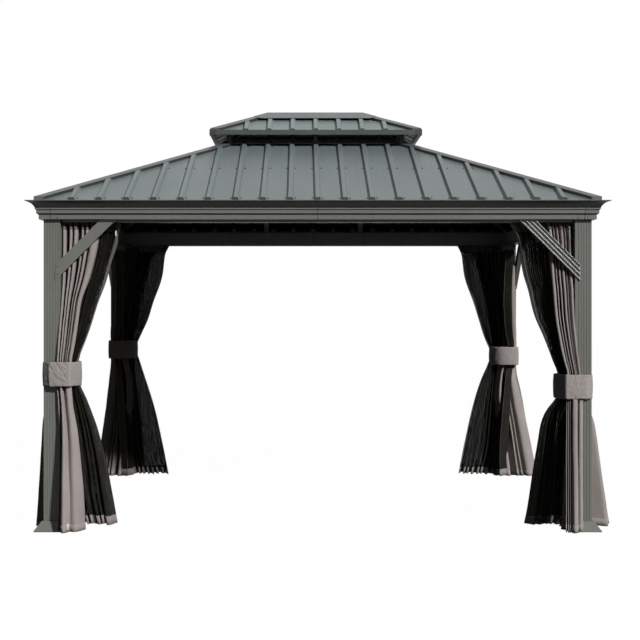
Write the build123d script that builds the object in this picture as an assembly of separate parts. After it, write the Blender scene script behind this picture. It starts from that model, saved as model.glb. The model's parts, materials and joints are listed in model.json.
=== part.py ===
from build123d import *
import os
from math import atan, cos, hypot, pi, radians, sin

# A hard-top garden gazebo with a two-tier hip roof, drawn in millimetres.
# Z is up, the ground is Z = 0, the long front side faces -Y and the origin is the centre of the footprint.

# Overall sizes
EAVE_X = 3660.0
EAVE_Y = 2950.0
OVERHANG = 100.0
BEAM_BOTTOM = 1965.0
BEAM_TOP = 2060.0
CORNICE_TOP = 2080.0
POST = 105.0

# Posts and feet
POST_WALL = 5.0
FLUTE_PITCH = 17.0
FLUTE_COUNT = 5
FLUTE_WIDTH = 7.0
FLUTE_DEPTH = 2.0
PLATE_SIZE = 180.0
PLATE_THICK = 6.0
PLATE_HOLE_R = 6.0
PLATE_HOLE_SPACING = 140.0
FOOT_SIZE = 210.0
FOOT_LIP = 7.0
FOOT_RISE = 55.0
FOOT_TAPER = 36.5
FOOT_WALL = 3.0
FOOT_CLEARANCE = 0.5

# Beams, cornice and corner pieces
BEAM_DEPTH = 95.0
SHELL = 3.0
CORNER_LEG = 32.0
JOINT_GAP = 1.0

# Knee braces at 45 degrees, each met by its post and beam at these drops below the beam
BRACE_LOW = 353.0
BRACE_HIGH = 254.0
BRACE_LAP = 32.0
BRACE_DEPTH = 25.0
BRACE_EDGE = 4.0
GROOVE_COUNT = 3
GROOVE_PITCH = 22.0
GROOVE_WIDTH = 18.0
GROOVE_DEPTH = 8.0

# Curtain rails, measured inwards from the outer face of the posts
RAIL_WIDTH = 22.0
RAIL_HEIGHT = 14.0
RAIL_SLOT = 8.0
RAIL_WALL = 2.5
RAIL_END = 6.0
CURTAIN_LINE = 46.0
NET_LINE = 80.0

# Roof covering
ROOF_TAN = 0.443
SHEET = 1.5
RIB_BASE = 42.0
RIB_CREST = 24.0
RIB_HEIGHT = 18.0
HIP_GAP = 4.0
CAP_LEAF = 45.0
CAP_THICK = 2.5

# Lower tier
PANEL_INSET = 42.0
LOWER_TOP_Y = 288.0
LOWER_PITCH = 171.5
LOWER_RIBS = 9
LOWER_SIDE_RIBS = 7

# Upper tier
UPPER_EAVE_Y = 402.0
UPPER_SEAT = 2670.0
FASCIA_BOTTOM = 2649.0
FASCIA_TOP = 2683.0
FASCIA_FLANGE = 26.0
FASCIA_WALL = 2.0
UPPER_PITCH = 166.0
UPPER_RIBS = 3
UPPER_SIDE_RIBS = 1
RIDGE_LEAF = 146.0
RIDGE_END = 97.0

# Roof frame
RAFTER_WIDTH = 40.0
RAFTER_DEPTH = 50.0
RAFTER_X = 400.0
RAFTER_SEAT = 70.0
PURLIN_RUN = 600.0
PURLIN_WIDTH = 30.0
PURLIN_DEPTH = 28.0
VENT_OUTSET = 12.0
VENT_BAR = 40.0
VENT_BAR_HEIGHT = 50.0
STRUT = 28.0
UPPER_BAR = 30.0
UPPER_HIP_WIDTH = 24.0
UPPER_HIP_DEPTH = 15.0
RIDGE_BAR_HEIGHT = 34.0

# Fabric
CURTAIN_TOP = 1947.0
CURTAIN_REACH = 225.0
NET_REACH = 375.0
TIE_HEIGHT = 152.0
TIE_THICK = 3.0
HEM_CLEARANCE = 6.0
PLEAT_POINTS = 16
PLEAT_HOLLOW = 0.84
TIE_LEVELS = {
    "front_left": 990.0,
    "front_right": 911.0,
    "back_left": 1069.0,
    "back_right": 1014.0,
}

FACE_X = EAVE_X / 2 - OVERHANG
FACE_Y = EAVE_Y / 2 - OVERHANG
RIDGE_HALF = (EAVE_X - EAVE_Y) / 2
PANEL_Y = EAVE_Y / 2 - PANEL_INSET
PURLIN_Y = PANEL_Y - PURLIN_RUN
VENT_Y = LOWER_TOP_Y + VENT_OUTSET
SHEET_RISE = SHEET * hypot(1, ROOF_TAN)
RIB_RISE = RIB_HEIGHT * hypot(1, ROOF_TAN)
CORNERS = {
    "front_left": (-1, -1),
    "front_right": (1, -1),
    "back_left": (-1, 1),
    "back_right": (1, 1),
}
SIDES = {"front": 0, "right": 90, "back": 180, "left": 270}


def polygon(points):
    """A flat face through points given in space."""
    return Face(Wire.make_polygon([Vector(*p) for p in points], close=True))


def dropped(points, drop):
    """A solid whose top is the given polygon and whose sides run straight down."""
    return extrude(polygon(points), amount=drop, dir=(0, 0, -1))


def block(low, high):
    """A box between two opposite corners."""
    size = [b - a for a, b in zip(low, high)]
    middle = [(a + b) / 2 for a, b in zip(low, high)]
    return Pos(*middle) * Box(*size)


def is_long(side):
    return side in ("front", "back")


def half_length(side):
    """Half of a side's length between the outer faces of its posts."""
    return FACE_X if is_long(side) else FACE_Y


def face_distance(side):
    """How far a side's outer post face stands from the centre."""
    return FACE_Y if is_long(side) else FACE_X


def hip_shift(side):
    """How much further from the centre a hip is sideways than outwards, for a slope drawn as the front."""
    return RIDGE_HALF if is_long(side) else -RIDGE_HALF


def outwards(side, y):
    """A distance from the ridge line, as a distance from the centre of the side that it is used on."""
    return y if is_long(side) else y + RIDGE_HALF


def turned(shape, side):
    """Turns something drawn as the front to the side it belongs on."""
    return shape.rotate(Axis.Z, SIDES[side])


def mirrored(shape, corner):
    """Mirrors something drawn at the front left corner to another corner."""
    if "right" in corner:
        shape = mirror(shape, Plane.YZ)
    if "back" in corner:
        shape = mirror(shape, Plane.XZ)
    return shape


def corner_spot(corner):
    """The middle of a post in plan."""
    sx, sy = CORNERS[corner]
    return sx * (FACE_X - POST / 2), sy * (FACE_Y - POST / 2)


# Posts and feet

def post_section():
    """A square tube with shallow flutes on its four faces."""
    section = Rectangle(POST, POST)
    first = -(FLUTE_COUNT - 1) / 2 * FLUTE_PITCH
    for turn in range(4):
        for n in range(FLUTE_COUNT):
            flute = Pos(first + n * FLUTE_PITCH, POST / 2) * Rectangle(FLUTE_WIDTH, 2 * FLUTE_DEPTH)
            section -= Rot(0, 0, 90 * turn) * flute
    return section - Rectangle(POST - 2 * POST_WALL, POST - 2 * POST_WALL)


def make_post(corner):
    x, y = corner_spot(corner)
    return Pos(x, y, PLATE_THICK) * extrude(post_section(), amount=BEAM_TOP - PLATE_THICK)


def make_base_plate(corner):
    x, y = corner_spot(corner)
    plate = Rectangle(PLATE_SIZE, PLATE_SIZE)
    plate -= GridLocations(PLATE_HOLE_SPACING, PLATE_HOLE_SPACING, 2, 2) * Circle(PLATE_HOLE_R)
    return Pos(x, y, 0) * extrude(plate, amount=PLATE_THICK)


def skirt(size, rise):
    """A square pyramid skirt with a short upright lip and sloping sides."""
    base = extrude(Rectangle(size, size), amount=FOOT_LIP)
    return base + Pos(0, 0, FOOT_LIP) * extrude(Rectangle(size, size), amount=rise, taper=FOOT_TAPER)


def make_foot_cover(corner):
    x, y = corner_spot(corner)
    lean = radians(FOOT_TAPER)
    drop = FOOT_WALL * (1 - cos(lean)) / sin(lean)
    opening = POST + 2 * FOOT_CLEARANCE
    inside = skirt(FOOT_SIZE - 2 * FOOT_WALL, FOOT_RISE - FOOT_WALL + drop)
    cover = skirt(FOOT_SIZE, FOOT_RISE) - Pos(0, 0, -drop) * inside
    cover -= Pos(0, 0, FOOT_RISE / 2) * Box(opening, opening, 2 * FOOT_RISE)
    return Pos(x, y, 0) * cover


# Beams, cornice and corner pieces

def moulding_section():
    """The hollow stepped and coved section that stands proud of the posts, X = outwards, Y = up."""
    low_band, high_band, fillet = 26.0, 39.0, 46.0
    cove_foot, cove_middle = (fillet, BEAM_BOTTOM + 70), (fillet + 17, BEAM_BOTTOM + 94)
    cove_head = (OVERHANG - 4, CORNICE_TOP - 5)
    with BuildSketch() as sketch:
        with BuildLine():
            Polyline(
                (0, CORNICE_TOP),
                (0, BEAM_BOTTOM),
                (low_band, BEAM_BOTTOM),
                (low_band, BEAM_BOTTOM + 27),
                (high_band, BEAM_BOTTOM + 37),
                (high_band, BEAM_BOTTOM + 57),
                (fillet, BEAM_BOTTOM + 61),
                cove_foot,
            )
            ThreePointArc(cove_foot, cove_middle, cove_head)
            Polyline(cove_head, (OVERHANG, CORNICE_TOP - 4), (OVERHANG, CORNICE_TOP), (0, CORNICE_TOP))
        make_face()
    outline = sketch.sketch
    return outline - offset(outline, amount=-SHELL, kind=Kind.INTERSECTION)


def along_front(face, start, end, distance):
    """Runs a section drawn as X = outwards, Y = up along the front from X = start to X = end."""
    plane = Plane(origin=(start, -distance, 0), x_dir=(0, -1, 0), z_dir=(-1, 0, 0))
    return extrude(plane * face, amount=-(end - start))


def make_beam(side):
    """The two halves of a beam: a box section between the posts, with the moulding in front of it."""
    reach, distance = half_length(side), face_distance(side)
    middle = Pos(-BEAM_DEPTH / 2, (BEAM_BOTTOM + BEAM_TOP) / 2)
    height = BEAM_TOP - BEAM_BOTTOM
    tube = middle * Rectangle(BEAM_DEPTH, height)
    tube -= middle * Rectangle(BEAM_DEPTH - 2 * SHELL, height - 2 * SHELL)
    near = JOINT_GAP / 2
    half = along_front(tube, -(reach - POST), -near, distance)
    half += along_front(moulding_section(), -(reach - CORNER_LEG), -near, distance)
    return [turned(half, side), turned(mirror(half, Plane.YZ), side)]


def make_cornice_corner(corner):
    """The mitred corner piece that carries the moulding round a post."""
    section = moulding_section()
    leg_x, leg_y = FACE_X - CORNER_LEG + JOINT_GAP, FACE_Y - CORNER_LEG + JOINT_GAP
    tip_x, tip_y = EAVE_X / 2, EAVE_Y / 2
    front = along_front(section, -tip_x, -leg_x, FACE_Y)
    side = turned(along_front(section, leg_y, tip_y, FACE_X), "left")
    front_plan = [(-leg_x, -FACE_Y), (-FACE_X, -FACE_Y), (-tip_x, -tip_y), (-leg_x, -tip_y)]
    side_plan = [(-FACE_X, -leg_y), (-FACE_X, -FACE_Y), (-tip_x, -tip_y), (-tip_x, -leg_y)]
    front &= dropped([(x, y, CORNICE_TOP) for x, y in front_plan], CORNICE_TOP)
    side &= dropped([(x, y, CORNICE_TOP) for x, y in side_plan], CORNICE_TOP)
    return mirrored(front + side, corner)


# Knee braces

def brace_slab(side, start, edge, front, back):
    """A 45 degree slab at the left end of a side, from X = -start up to the beam, between two depths."""
    inner = half_length(side) - POST
    low, high = BRACE_LOW - edge, BRACE_HIGH + edge
    rise = start - inner
    points = [
        (-start, BEAM_BOTTOM - low - rise),
        (-(inner - low), BEAM_BOTTOM),
        (-(inner - high), BEAM_BOTTOM),
        (-start, BEAM_BOTTOM - high - rise),
    ]
    face = polygon([(x, -face_distance(side) + front, z) for x, z in points])
    return extrude(face, amount=back - front, dir=(0, 1, 0))


def brace_groove(side, shift):
    """A long channel between the fins on a brace's face, shifted across it."""
    inner = half_length(side) - POST
    centre = (BRACE_LOW + BRACE_HIGH) / 2 + shift * 2**0.5
    x, z = -(inner - centre / 2), BEAM_BOTTOM - centre / 2
    bar = Box(2 * BRACE_LOW, 2 * GROOVE_DEPTH, GROOVE_WIDTH)
    return Pos(x, -face_distance(side) - SHELL - GROOVE_DEPTH, z) * Rot(0, -45, 0) * bar


def brace(side, grooved):
    """The left brace of a side: a face plate that laps the post, with fins on it if grooved."""
    inner = half_length(side) - POST
    shape = brace_slab(side, inner, 0, 0, BRACE_DEPTH)
    shape -= brace_slab(side, inner + POST / 2, BRACE_EDGE, 0, BRACE_DEPTH + 1)
    shape += brace_slab(side, inner + BRACE_LAP, 0, -SHELL, 0)
    if grooved:
        shape += brace_slab(side, inner + BRACE_LAP, 0, -SHELL - GROOVE_DEPTH, -SHELL)
        first = -(GROOVE_COUNT - 1) / 2 * GROOVE_PITCH
        for n in range(GROOVE_COUNT):
            shape -= brace_groove(side, first + n * GROOVE_PITCH)
    return shape


def make_braces(side):
    left = brace(side, grooved=False)
    right = mirror(brace(side, grooved=True), Plane.YZ)
    return [turned(left, side), turned(right, side)]


# Curtain rails

def make_rail(side, inset):
    """A slotted track hung below the beam between the posts of a side."""
    section = Rectangle(RAIL_WIDTH, RAIL_HEIGHT)
    section -= Rectangle(RAIL_WIDTH - 2 * RAIL_WALL, RAIL_HEIGHT - 2 * RAIL_WALL)
    section -= Pos(0, -RAIL_HEIGHT / 2) * Rectangle(RAIL_SLOT, 3 * RAIL_WALL)
    section = Pos(-inset, BEAM_BOTTOM - RAIL_HEIGHT / 2) * section
    end = half_length(side) - POST - RAIL_END
    return turned(along_front(section, -end, end, face_distance(side)), side)


# Roof covering

def rib_line(pitch, count, lift, spread):
    """Points along a ribbed sheet from left to right, lifted and widened for its top or underside."""
    points = []
    for n in range(-count, count + 1):
        foot, crest = RIB_BASE / 2 + spread, RIB_CREST / 2 + spread
        points += [
            (n * pitch - foot, lift),
            (n * pitch - crest, RIB_HEIGHT + lift),
            (n * pitch + crest, RIB_HEIGHT + lift),
            (n * pitch + foot, lift),
        ]
    return points


def ribbed_slope(side, eave, top, seat, pitch, count):
    """One slope of a hip roof: a folded sheet with standing ribs, its underside at seat, cut along its hips."""
    shift = hip_shift(side)
    wide = eave + shift + RIB_BASE
    spread = SHEET / 2
    upper = [(-wide, SHEET), *rib_line(pitch, count, SHEET, spread), (wide, SHEET)]
    lower = [(-wide, 0), *rib_line(pitch, count, 0, -spread), (wide, 0)]
    section = make_face(Polyline(*upper, *reversed(lower), close=True))
    angle = atan(ROOF_TAN)
    run = eave - top
    plane = Plane(
        origin=(0, -eave - RIB_HEIGHT, seat - RIB_HEIGHT * ROOF_TAN),
        x_dir=(-1, 0, 0),
        z_dir=(0, cos(angle), sin(angle)),
    )
    sheet = extrude(plane * section, amount=(run + 4 * RIB_HEIGHT) / cos(angle))
    half_eave = eave + shift - HIP_GAP
    half_top = top + shift - HIP_GAP
    plan = [(-half_eave, -eave), (half_eave, -eave), (half_top, -top), (-half_top, -top)]
    if half_top <= 0:
        plan = plan[:2] + [(0, -top + half_top)]
    ceiling = seat + run + RIB_HEIGHT
    return sheet & dropped([(x, y, ceiling) for x, y in plan], ceiling - seat + RIB_HEIGHT)


def make_lower_slope(side):
    eave, top = outwards(side, PANEL_Y), outwards(side, LOWER_TOP_Y)
    count = LOWER_RIBS if is_long(side) else LOWER_SIDE_RIBS
    return turned(ribbed_slope(side, eave, top, CORNICE_TOP, LOWER_PITCH, count), side)


def make_upper_slope(side):
    inset = FASCIA_WALL + 1
    eave, top = outwards(side, UPPER_EAVE_Y - inset), outwards(side, HIP_GAP / 2)
    seat = UPPER_SEAT + inset * ROOF_TAN
    count = UPPER_RIBS if is_long(side) else UPPER_SIDE_RIBS
    return turned(ribbed_slope(side, eave, top, seat, UPPER_PITCH, count), side)


def make_hip_cap(corner, inner, outer, eave, seat):
    """A folded cap that lies on the ribs over a hip, from inner out to outer."""
    across = CAP_LEAF * 2**0.5
    lift = SHEET_RISE + RIB_RISE + CAP_THICK
    front, side = [], []
    for y, shift in ((outer, 0), (inner, 0), (inner, across), (outer, across)):
        z = seat + (eave - y) * ROOF_TAN + lift
        front.append((-(RIDGE_HALF + y - shift), -y, z))
        side.append((-(RIDGE_HALF + y), -(y - shift), z))
    return mirrored(dropped(front, CAP_THICK) + dropped(side, CAP_THICK), corner)


def make_lower_hip_cap(corner):
    return make_hip_cap(corner, LOWER_TOP_Y + 20, PANEL_Y - 6, PANEL_Y, CORNICE_TOP)


def make_upper_hip_cap(corner):
    return make_hip_cap(corner, CAP_LEAF * 2**0.5, UPPER_EAVE_Y - 4, UPPER_EAVE_Y, UPPER_SEAT)


def make_ridge_cap():
    """The cap over the ridge, hipped at both ends, with its corners cut off along the hips."""
    top = UPPER_SEAT + UPPER_EAVE_Y * ROOF_TAN + SHEET_RISE + RIB_RISE + 2 * CAP_THICK
    end = RIDGE_HALF + RIDGE_END
    foot = end - (RIDGE_LEAF - RIDGE_END)
    drop_leaf, drop_end = RIDGE_LEAF * ROOF_TAN, RIDGE_END * ROOF_TAN
    leaf = [
        (-RIDGE_HALF, 0, top),
        (-end, -RIDGE_END, top - drop_end),
        (-foot, -RIDGE_LEAF, top - drop_leaf),
        (foot, -RIDGE_LEAF, top - drop_leaf),
        (end, -RIDGE_END, top - drop_end),
        (RIDGE_HALF, 0, top),
    ]
    flap = [
        (-RIDGE_HALF, 0, top),
        (-end, RIDGE_END, top - drop_end),
        (-end, -RIDGE_END, top - drop_end),
    ]
    leaf, flap = dropped(leaf, CAP_THICK), dropped(flap, CAP_THICK)
    return leaf + mirror(leaf, Plane.XZ) + flap + mirror(flap, Plane.YZ)


def make_upper_fascia():
    """The angle that runs round the eave of the upper tier."""
    x, y = UPPER_EAVE_Y + RIDGE_HALF, UPPER_EAVE_Y
    wall, flange = FASCIA_WALL, FASCIA_FLANGE
    ring = block((-x, -y, FASCIA_BOTTOM), (x, y, FASCIA_TOP))
    ring -= block((-x + wall, -y + wall, FASCIA_BOTTOM + wall), (x - wall, y - wall, FASCIA_TOP + wall))
    low, high = FASCIA_BOTTOM - wall, FASCIA_TOP
    ring -= block((-x + flange, -y + flange, low), (x - flange, y - flange, high))
    return ring


# Roof frame

def vent_block(bottom, top, inset=0.0):
    """The rectangle of the vent opening's frame as a solid block, drawn in by an inset."""
    y = VENT_Y - inset
    x = y + RIDGE_HALF
    return block((-x, -y, bottom), (x, y, top))


def make_hip_rafter(corner):
    """A rafter under a hip: it stands on the post and ends at the corner of the vent frame."""
    outer, inner = FACE_Y - POST / 2, LOWER_TOP_Y
    sink = RAFTER_WIDTH / 2 / 2**0.5 * ROOF_TAN
    depth = RAFTER_DEPTH + sink
    tops = [CORNICE_TOP + (PANEL_Y - y) * ROOF_TAN - sink for y in (outer, inner)]
    seat_inner = outer - (RAFTER_SEAT - 10) / 2**0.5
    seat_top = CORNICE_TOP + (PANEL_Y - seat_inner) * ROOF_TAN - sink - depth
    profile = [
        (outer * 2**0.5, tops[0]),
        (inner * 2**0.5, tops[1]),
        (inner * 2**0.5, tops[1] - depth),
        (seat_inner * 2**0.5, seat_top),
        (seat_inner * 2**0.5, BEAM_TOP),
        (outer * 2**0.5, BEAM_TOP),
    ]
    along = Plane(origin=(-RIDGE_HALF, 0, 0), x_dir=(-1, -1, 0), z_dir=(-1, 1, 0))
    bar = extrude(along * make_face(Polyline(*profile, close=True)), amount=RAFTER_WIDTH / 2, both=True)
    low = vent_level() - 2 * VENT_BAR_HEIGHT
    return mirrored(bar - vent_block(low, vent_level() + RAFTER_DEPTH), corner)


def make_rafter(side, x):
    """A rafter that runs from a beam to the vent frame."""
    outer, inner = face_distance(side) - 20, outwards(side, VENT_Y)
    seat = outer - RAFTER_SEAT
    eave = outwards(side, PANEL_Y)
    profile = [(-y, CORNICE_TOP + (eave - y) * ROOF_TAN) for y in (outer, inner)]
    profile += [(-y, CORNICE_TOP + (eave - y) * ROOF_TAN - RAFTER_DEPTH) for y in (inner, seat)]
    profile += [(-seat, BEAM_TOP), (-outer, BEAM_TOP)]
    plane = Plane(origin=(x, 0, 0), x_dir=(0, 1, 0), z_dir=(1, 0, 0))
    bar = extrude(plane * make_face(Polyline(*profile, close=True)), amount=RAFTER_WIDTH / 2, both=True)
    return turned(bar, side)


def make_purlin(side, low, high):
    """A bar across a slope between two rafters, or between a rafter and a hip rafter where an end is None."""
    inner = outwards(side, PURLIN_Y)
    outer = inner + PURLIN_WIDTH
    eave = outwards(side, PANEL_Y)
    hip_face = hip_shift(side) - RAFTER_WIDTH / 2 * 2**0.5
    ends = []
    for y in (outer, inner):
        start = -(y + hip_face) if low is None else low
        finish = y + hip_face if high is None else high
        z = CORNICE_TOP + (eave - y) * ROOF_TAN
        ends.append([(start, -y, z), (finish, -y, z)])
    points = ends[0] + ends[1][::-1]
    return turned(dropped(points, PURLIN_DEPTH), side)


def make_rafters():
    """The common rafters: two on each long side and one on each short side."""
    rafters = [make_rafter(side, x) for side in ("front", "back") for x in (-RAFTER_X, RAFTER_X)]
    return rafters + [make_rafter(side, 0) for side in ("left", "right")]


def make_purlins():
    half = RAFTER_WIDTH / 2
    long_spans = [(None, -RAFTER_X - half), (-RAFTER_X + half, RAFTER_X - half), (RAFTER_X + half, None)]
    short_spans = [(None, -half), (half, None)]
    return [
        make_purlin(side, low, high)
        for side in SIDES
        for low, high in (long_spans if is_long(side) else short_spans)
    ]


def vent_level():
    """The top of the frame round the vent opening, where the lower sheets end."""
    return CORNICE_TOP + (PANEL_Y - VENT_Y) * ROOF_TAN


def upper_ring_level():
    """The top of the ring that carries the upper tier."""
    return UPPER_SEAT + (UPPER_EAVE_Y - VENT_Y) * ROOF_TAN


def make_vent_frame():
    """The frame that closes the lower roof, with the struts that lift the upper tier."""
    top, head = vent_level(), upper_ring_level() - UPPER_BAR
    frame = vent_block(top - VENT_BAR_HEIGHT, top)
    frame -= vent_block(top - 2 * VENT_BAR_HEIGHT, top + 1, VENT_BAR)
    y = LOWER_TOP_Y - STRUT / 2 - 2
    x = y + RIDGE_HALF
    half = STRUT / 2
    for sx, sy in ((0, -1), (0, 1), (-1, 0), (1, 0), *CORNERS.values()):
        middle_x, middle_y = sx * x, sy * y
        low, high = (middle_x - half, middle_y - half, top), (middle_x + half, middle_y + half, head)
        frame += block(low, high)
    return frame


def make_upper_frame():
    """The ring, hip bars and ridge bar that carry the upper tier."""
    top = upper_ring_level()
    frame = vent_block(top - UPPER_BAR, top)
    frame -= vent_block(top - 2 * UPPER_BAR, top + 1, UPPER_BAR)
    outer = UPPER_EAVE_Y - FASCIA_WALL - UPPER_HIP_WIDTH / 2
    sink = UPPER_HIP_WIDTH / 2 / 2**0.5 * ROOF_TAN
    tops = [UPPER_SEAT + (UPPER_EAVE_Y - y) * ROOF_TAN - sink for y in (outer, 0)]
    foot = FASCIA_BOTTOM + FASCIA_WALL
    profile = [
        (outer * 2**0.5, tops[0]),
        (0, tops[1]),
        (0, tops[1] - UPPER_HIP_DEPTH),
        (outer * 2**0.5, foot),
    ]
    along = Plane(origin=(-RIDGE_HALF, 0, 0), x_dir=(-1, -1, 0), z_dir=(-1, 1, 0))
    bar = extrude(along * make_face(Polyline(*profile, close=True)), amount=UPPER_HIP_WIDTH / 2, both=True)
    for corner in CORNERS:
        frame += mirrored(bar, corner)
    half = UPPER_HIP_WIDTH / 2
    ridge = UPPER_SEAT + (UPPER_EAVE_Y - half) * ROOF_TAN
    return frame + block((-RIDGE_HALF, -half, ridge - RIDGE_BAR_HEIGHT), (RIDGE_HALF, half, ridge))


# Fabric

def pleated_ring(swap, section):
    """Points round an oval whose edge goes in and out, placed by distances in from the two outer post faces."""
    along, inwards, z, width, depth = section
    ring = []
    for n in range(PLEAT_POINTS):
        angle = 2 * pi * n / PLEAT_POINTS
        reach = PLEAT_HOLLOW if n % 2 else 1.0
        spot = (along + reach * width / 2 * cos(angle), inwards + reach * depth / 2 * sin(angle))
        if swap:
            spot = spot[::-1]
        ring.append((-FACE_X + spot[0], -FACE_Y + spot[1], z))
    return ring


def bundle(corner, swap, sections):
    """A closed bundle of pleated cloth through flat-sided rings, from the hem up."""
    rings = [pleated_ring(swap, section) for section in sections]
    faces = [polygon(rings[0]), polygon(rings[-1])]
    for lower, upper in zip(rings, rings[1:]):
        for n in range(PLEAT_POINTS):
            m = (n + 1) % PLEAT_POINTS
            faces.append(polygon([lower[n], lower[m], upper[m]]))
            faces.append(polygon([lower[n], upper[m], upper[n]]))
    return mirrored(Solid(Shell(faces)), corner)


def cloth_sections(corner, line, reach, header, mid, tie, hem):
    """Ovals of cloth that is spread along its rail, pinched at the tie band and flared at the hem."""
    level = TIE_LEVELS[corner]
    low, high = level - TIE_HEIGHT / 2, level + TIE_HEIGHT / 2
    start = POST + RAIL_END
    knee = BEAM_BOTTOM - BRACE_LOW - 2 * BRACE_LAP
    half_way = [(a + b) / 2 for a, b in zip(tie, hem)]
    return [
        (hem[0], hem[1], HEM_CLEARANCE, hem[2], hem[3]),
        (half_way[0] - 10, half_way[1], low / 2, half_way[2], half_way[3]),
        (tie[0], tie[1], low, tie[2], tie[3]),
        (tie[0], tie[1], high, tie[2], tie[3]),
        (start + reach * 0.36, line, knee, reach * 0.72, mid),
        (start + reach / 2, line, CURTAIN_TOP, reach, header),
    ]


def make_curtains(corner):
    """The solid curtains at a corner: one on each side of its post."""
    tie, hem = (163, 22, 104, 106), (286, -10, 200, 178)
    sections = cloth_sections(corner, CURTAIN_LINE, CURTAIN_REACH, 26, 34, tie, hem)
    return [bundle(corner, swap, sections) for swap in (False, True)]


def make_nettings(corner):
    """The netting at a corner: one length on each side of its post, inside the curtains."""
    tie, hem = (144, 104, 56, 36), (300, 166, 190, 108)
    sections = cloth_sections(corner, NET_LINE, NET_REACH, 12, 16, tie, hem)
    return [bundle(corner, swap, sections) for swap in (False, True)]


def make_tie_band(corner):
    """The band that holds the gathered cloth to its post: flat on the post's outer corner, bulging over the cloth."""
    clear, bulge, far, near = 1.0, 38.0, 220.0, 78.0
    bend = [(50, -clear), (112, -30), (140, -bulge), (180, -bulge), (208, -24), (far, 4), (far, near)]
    plan = [(-clear, -clear), *bend, *[(b, a) for a, b in reversed(bend)]]
    outline = make_face(Polyline(*plan, close=True))
    ring = offset(outline, amount=TIE_THICK, kind=Kind.INTERSECTION) - outline
    low = TIE_LEVELS[corner] - TIE_HEIGHT / 2
    return mirrored(Pos(-FACE_X, -FACE_Y, low) * extrude(ring, amount=TIE_HEIGHT), corner)


def build_nodes():
    """Every sub-part by name, as a list of solids that don't touch each other."""
    nodes = {
        "base_plates": [make_base_plate(corner) for corner in CORNERS],
        "hip_rafters": [make_hip_rafter(corner) for corner in CORNERS],
        "rafters": make_rafters(),
        "purlins": make_purlins(),
        "vent_frame": [make_vent_frame()],
        "upper_frame": [make_upper_frame()],
        "upper_fascia": [make_upper_fascia()],
        "curtain_rails": [make_rail(side, CURTAIN_LINE) for side in SIDES],
        "netting_rails": [make_rail(side, NET_LINE) for side in SIDES],
        "lower_hip_caps": [make_lower_hip_cap(corner) for corner in CORNERS],
        "upper_hip_caps": [make_upper_hip_cap(corner) for corner in CORNERS],
        "ridge_cap": [make_ridge_cap()],
    }
    for corner in CORNERS:
        nodes["post_" + corner] = [make_post(corner)]
        nodes["foot_cover_" + corner] = [make_foot_cover(corner)]
        nodes["cornice_corner_" + corner] = [make_cornice_corner(corner)]
        nodes["curtains_" + corner] = make_curtains(corner)
        nodes["nettings_" + corner] = make_nettings(corner)
        nodes["tie_band_" + corner] = [make_tie_band(corner)]
    for side in SIDES:
        nodes["beam_" + side] = make_beam(side)
        nodes["braces_" + side] = make_braces(side)
        nodes["lower_roof_" + side] = [make_lower_slope(side)]
        nodes["upper_roof_" + side] = [make_upper_slope(side)]
    return nodes


os.makedirs("parts", exist_ok=True)
for name, shapes in build_nodes().items():
    solids = [solid for shape in shapes for solid in shape.solids()]
    whole = solids[0] if len(solids) == 1 else Compound(children=solids)
    export_step(whole, f"parts/{name}.step")
    print(name, len(solids))
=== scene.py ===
"""A hard-top metal gazebo with curtains and insect netting tied back at its four corners."""

import json
import math
import random

import bmesh
import bpy
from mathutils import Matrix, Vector, noise


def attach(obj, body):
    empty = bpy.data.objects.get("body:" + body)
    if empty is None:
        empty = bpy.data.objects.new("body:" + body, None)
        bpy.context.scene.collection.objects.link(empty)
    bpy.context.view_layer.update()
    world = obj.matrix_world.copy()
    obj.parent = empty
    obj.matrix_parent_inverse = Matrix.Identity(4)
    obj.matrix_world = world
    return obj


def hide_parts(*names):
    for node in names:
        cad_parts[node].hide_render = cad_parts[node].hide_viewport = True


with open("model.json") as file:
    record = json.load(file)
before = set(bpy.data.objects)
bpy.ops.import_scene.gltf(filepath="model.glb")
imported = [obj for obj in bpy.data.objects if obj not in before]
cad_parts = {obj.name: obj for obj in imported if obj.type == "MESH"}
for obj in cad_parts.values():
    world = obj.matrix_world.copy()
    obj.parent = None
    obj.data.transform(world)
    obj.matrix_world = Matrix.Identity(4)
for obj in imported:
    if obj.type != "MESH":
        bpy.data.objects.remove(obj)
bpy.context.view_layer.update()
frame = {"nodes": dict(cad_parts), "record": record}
RECORD = frame["record"]

# The photograph's camera, in metres and pixels.
IMAGE_SIZE = 640
CAMERA_PLACE = (-0.102, -8.874, 1.368)
FOCAL_PIXELS = 1187.93
PRINCIPAL_X = 301.49
PRINCIPAL_Y = 314.11
SENSOR_MM = 36.0

# The gazebo's own sizes, in metres.
FACE_X = 1.730
FACE_Y = 1.375
POST = 0.105
COVER_REACH = 0.0545
COVER_HEIGHT = 0.064
CLOTH_TOP = 1.951
HEM_LEVEL = 0.008

# The roof's own sizes, in metres.
RIDGE_HALF = 0.355
ROOF_TAN = 0.443
PANEL_EDGE = 1.433
PANEL_HEAD = 0.288
ROOF_SEAT = 2.080
UPPER_EDGE = 0.402
UPPER_SEAT = 2.670
LOWER_PITCH = 0.1715
UPPER_PITCH = 0.166
RIB_BASE = 0.042
RIB_CREST = 0.024
RIB_HEIGHT = 0.018
SHEET = 0.0015
CAP_ACROSS = 0.0636

CORNERS = ("front_left", "front_right", "back_left", "back_right")
SIDES = ("front", "right", "back", "left")
QUARTERS = [(sign_x, sign_y) for sign_x in (-1.0, 1.0) for sign_y in (-1.0, 1.0)]


# Node materials. A wire is a node's output. It takes plain arithmetic, which adds Math nodes.

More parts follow.
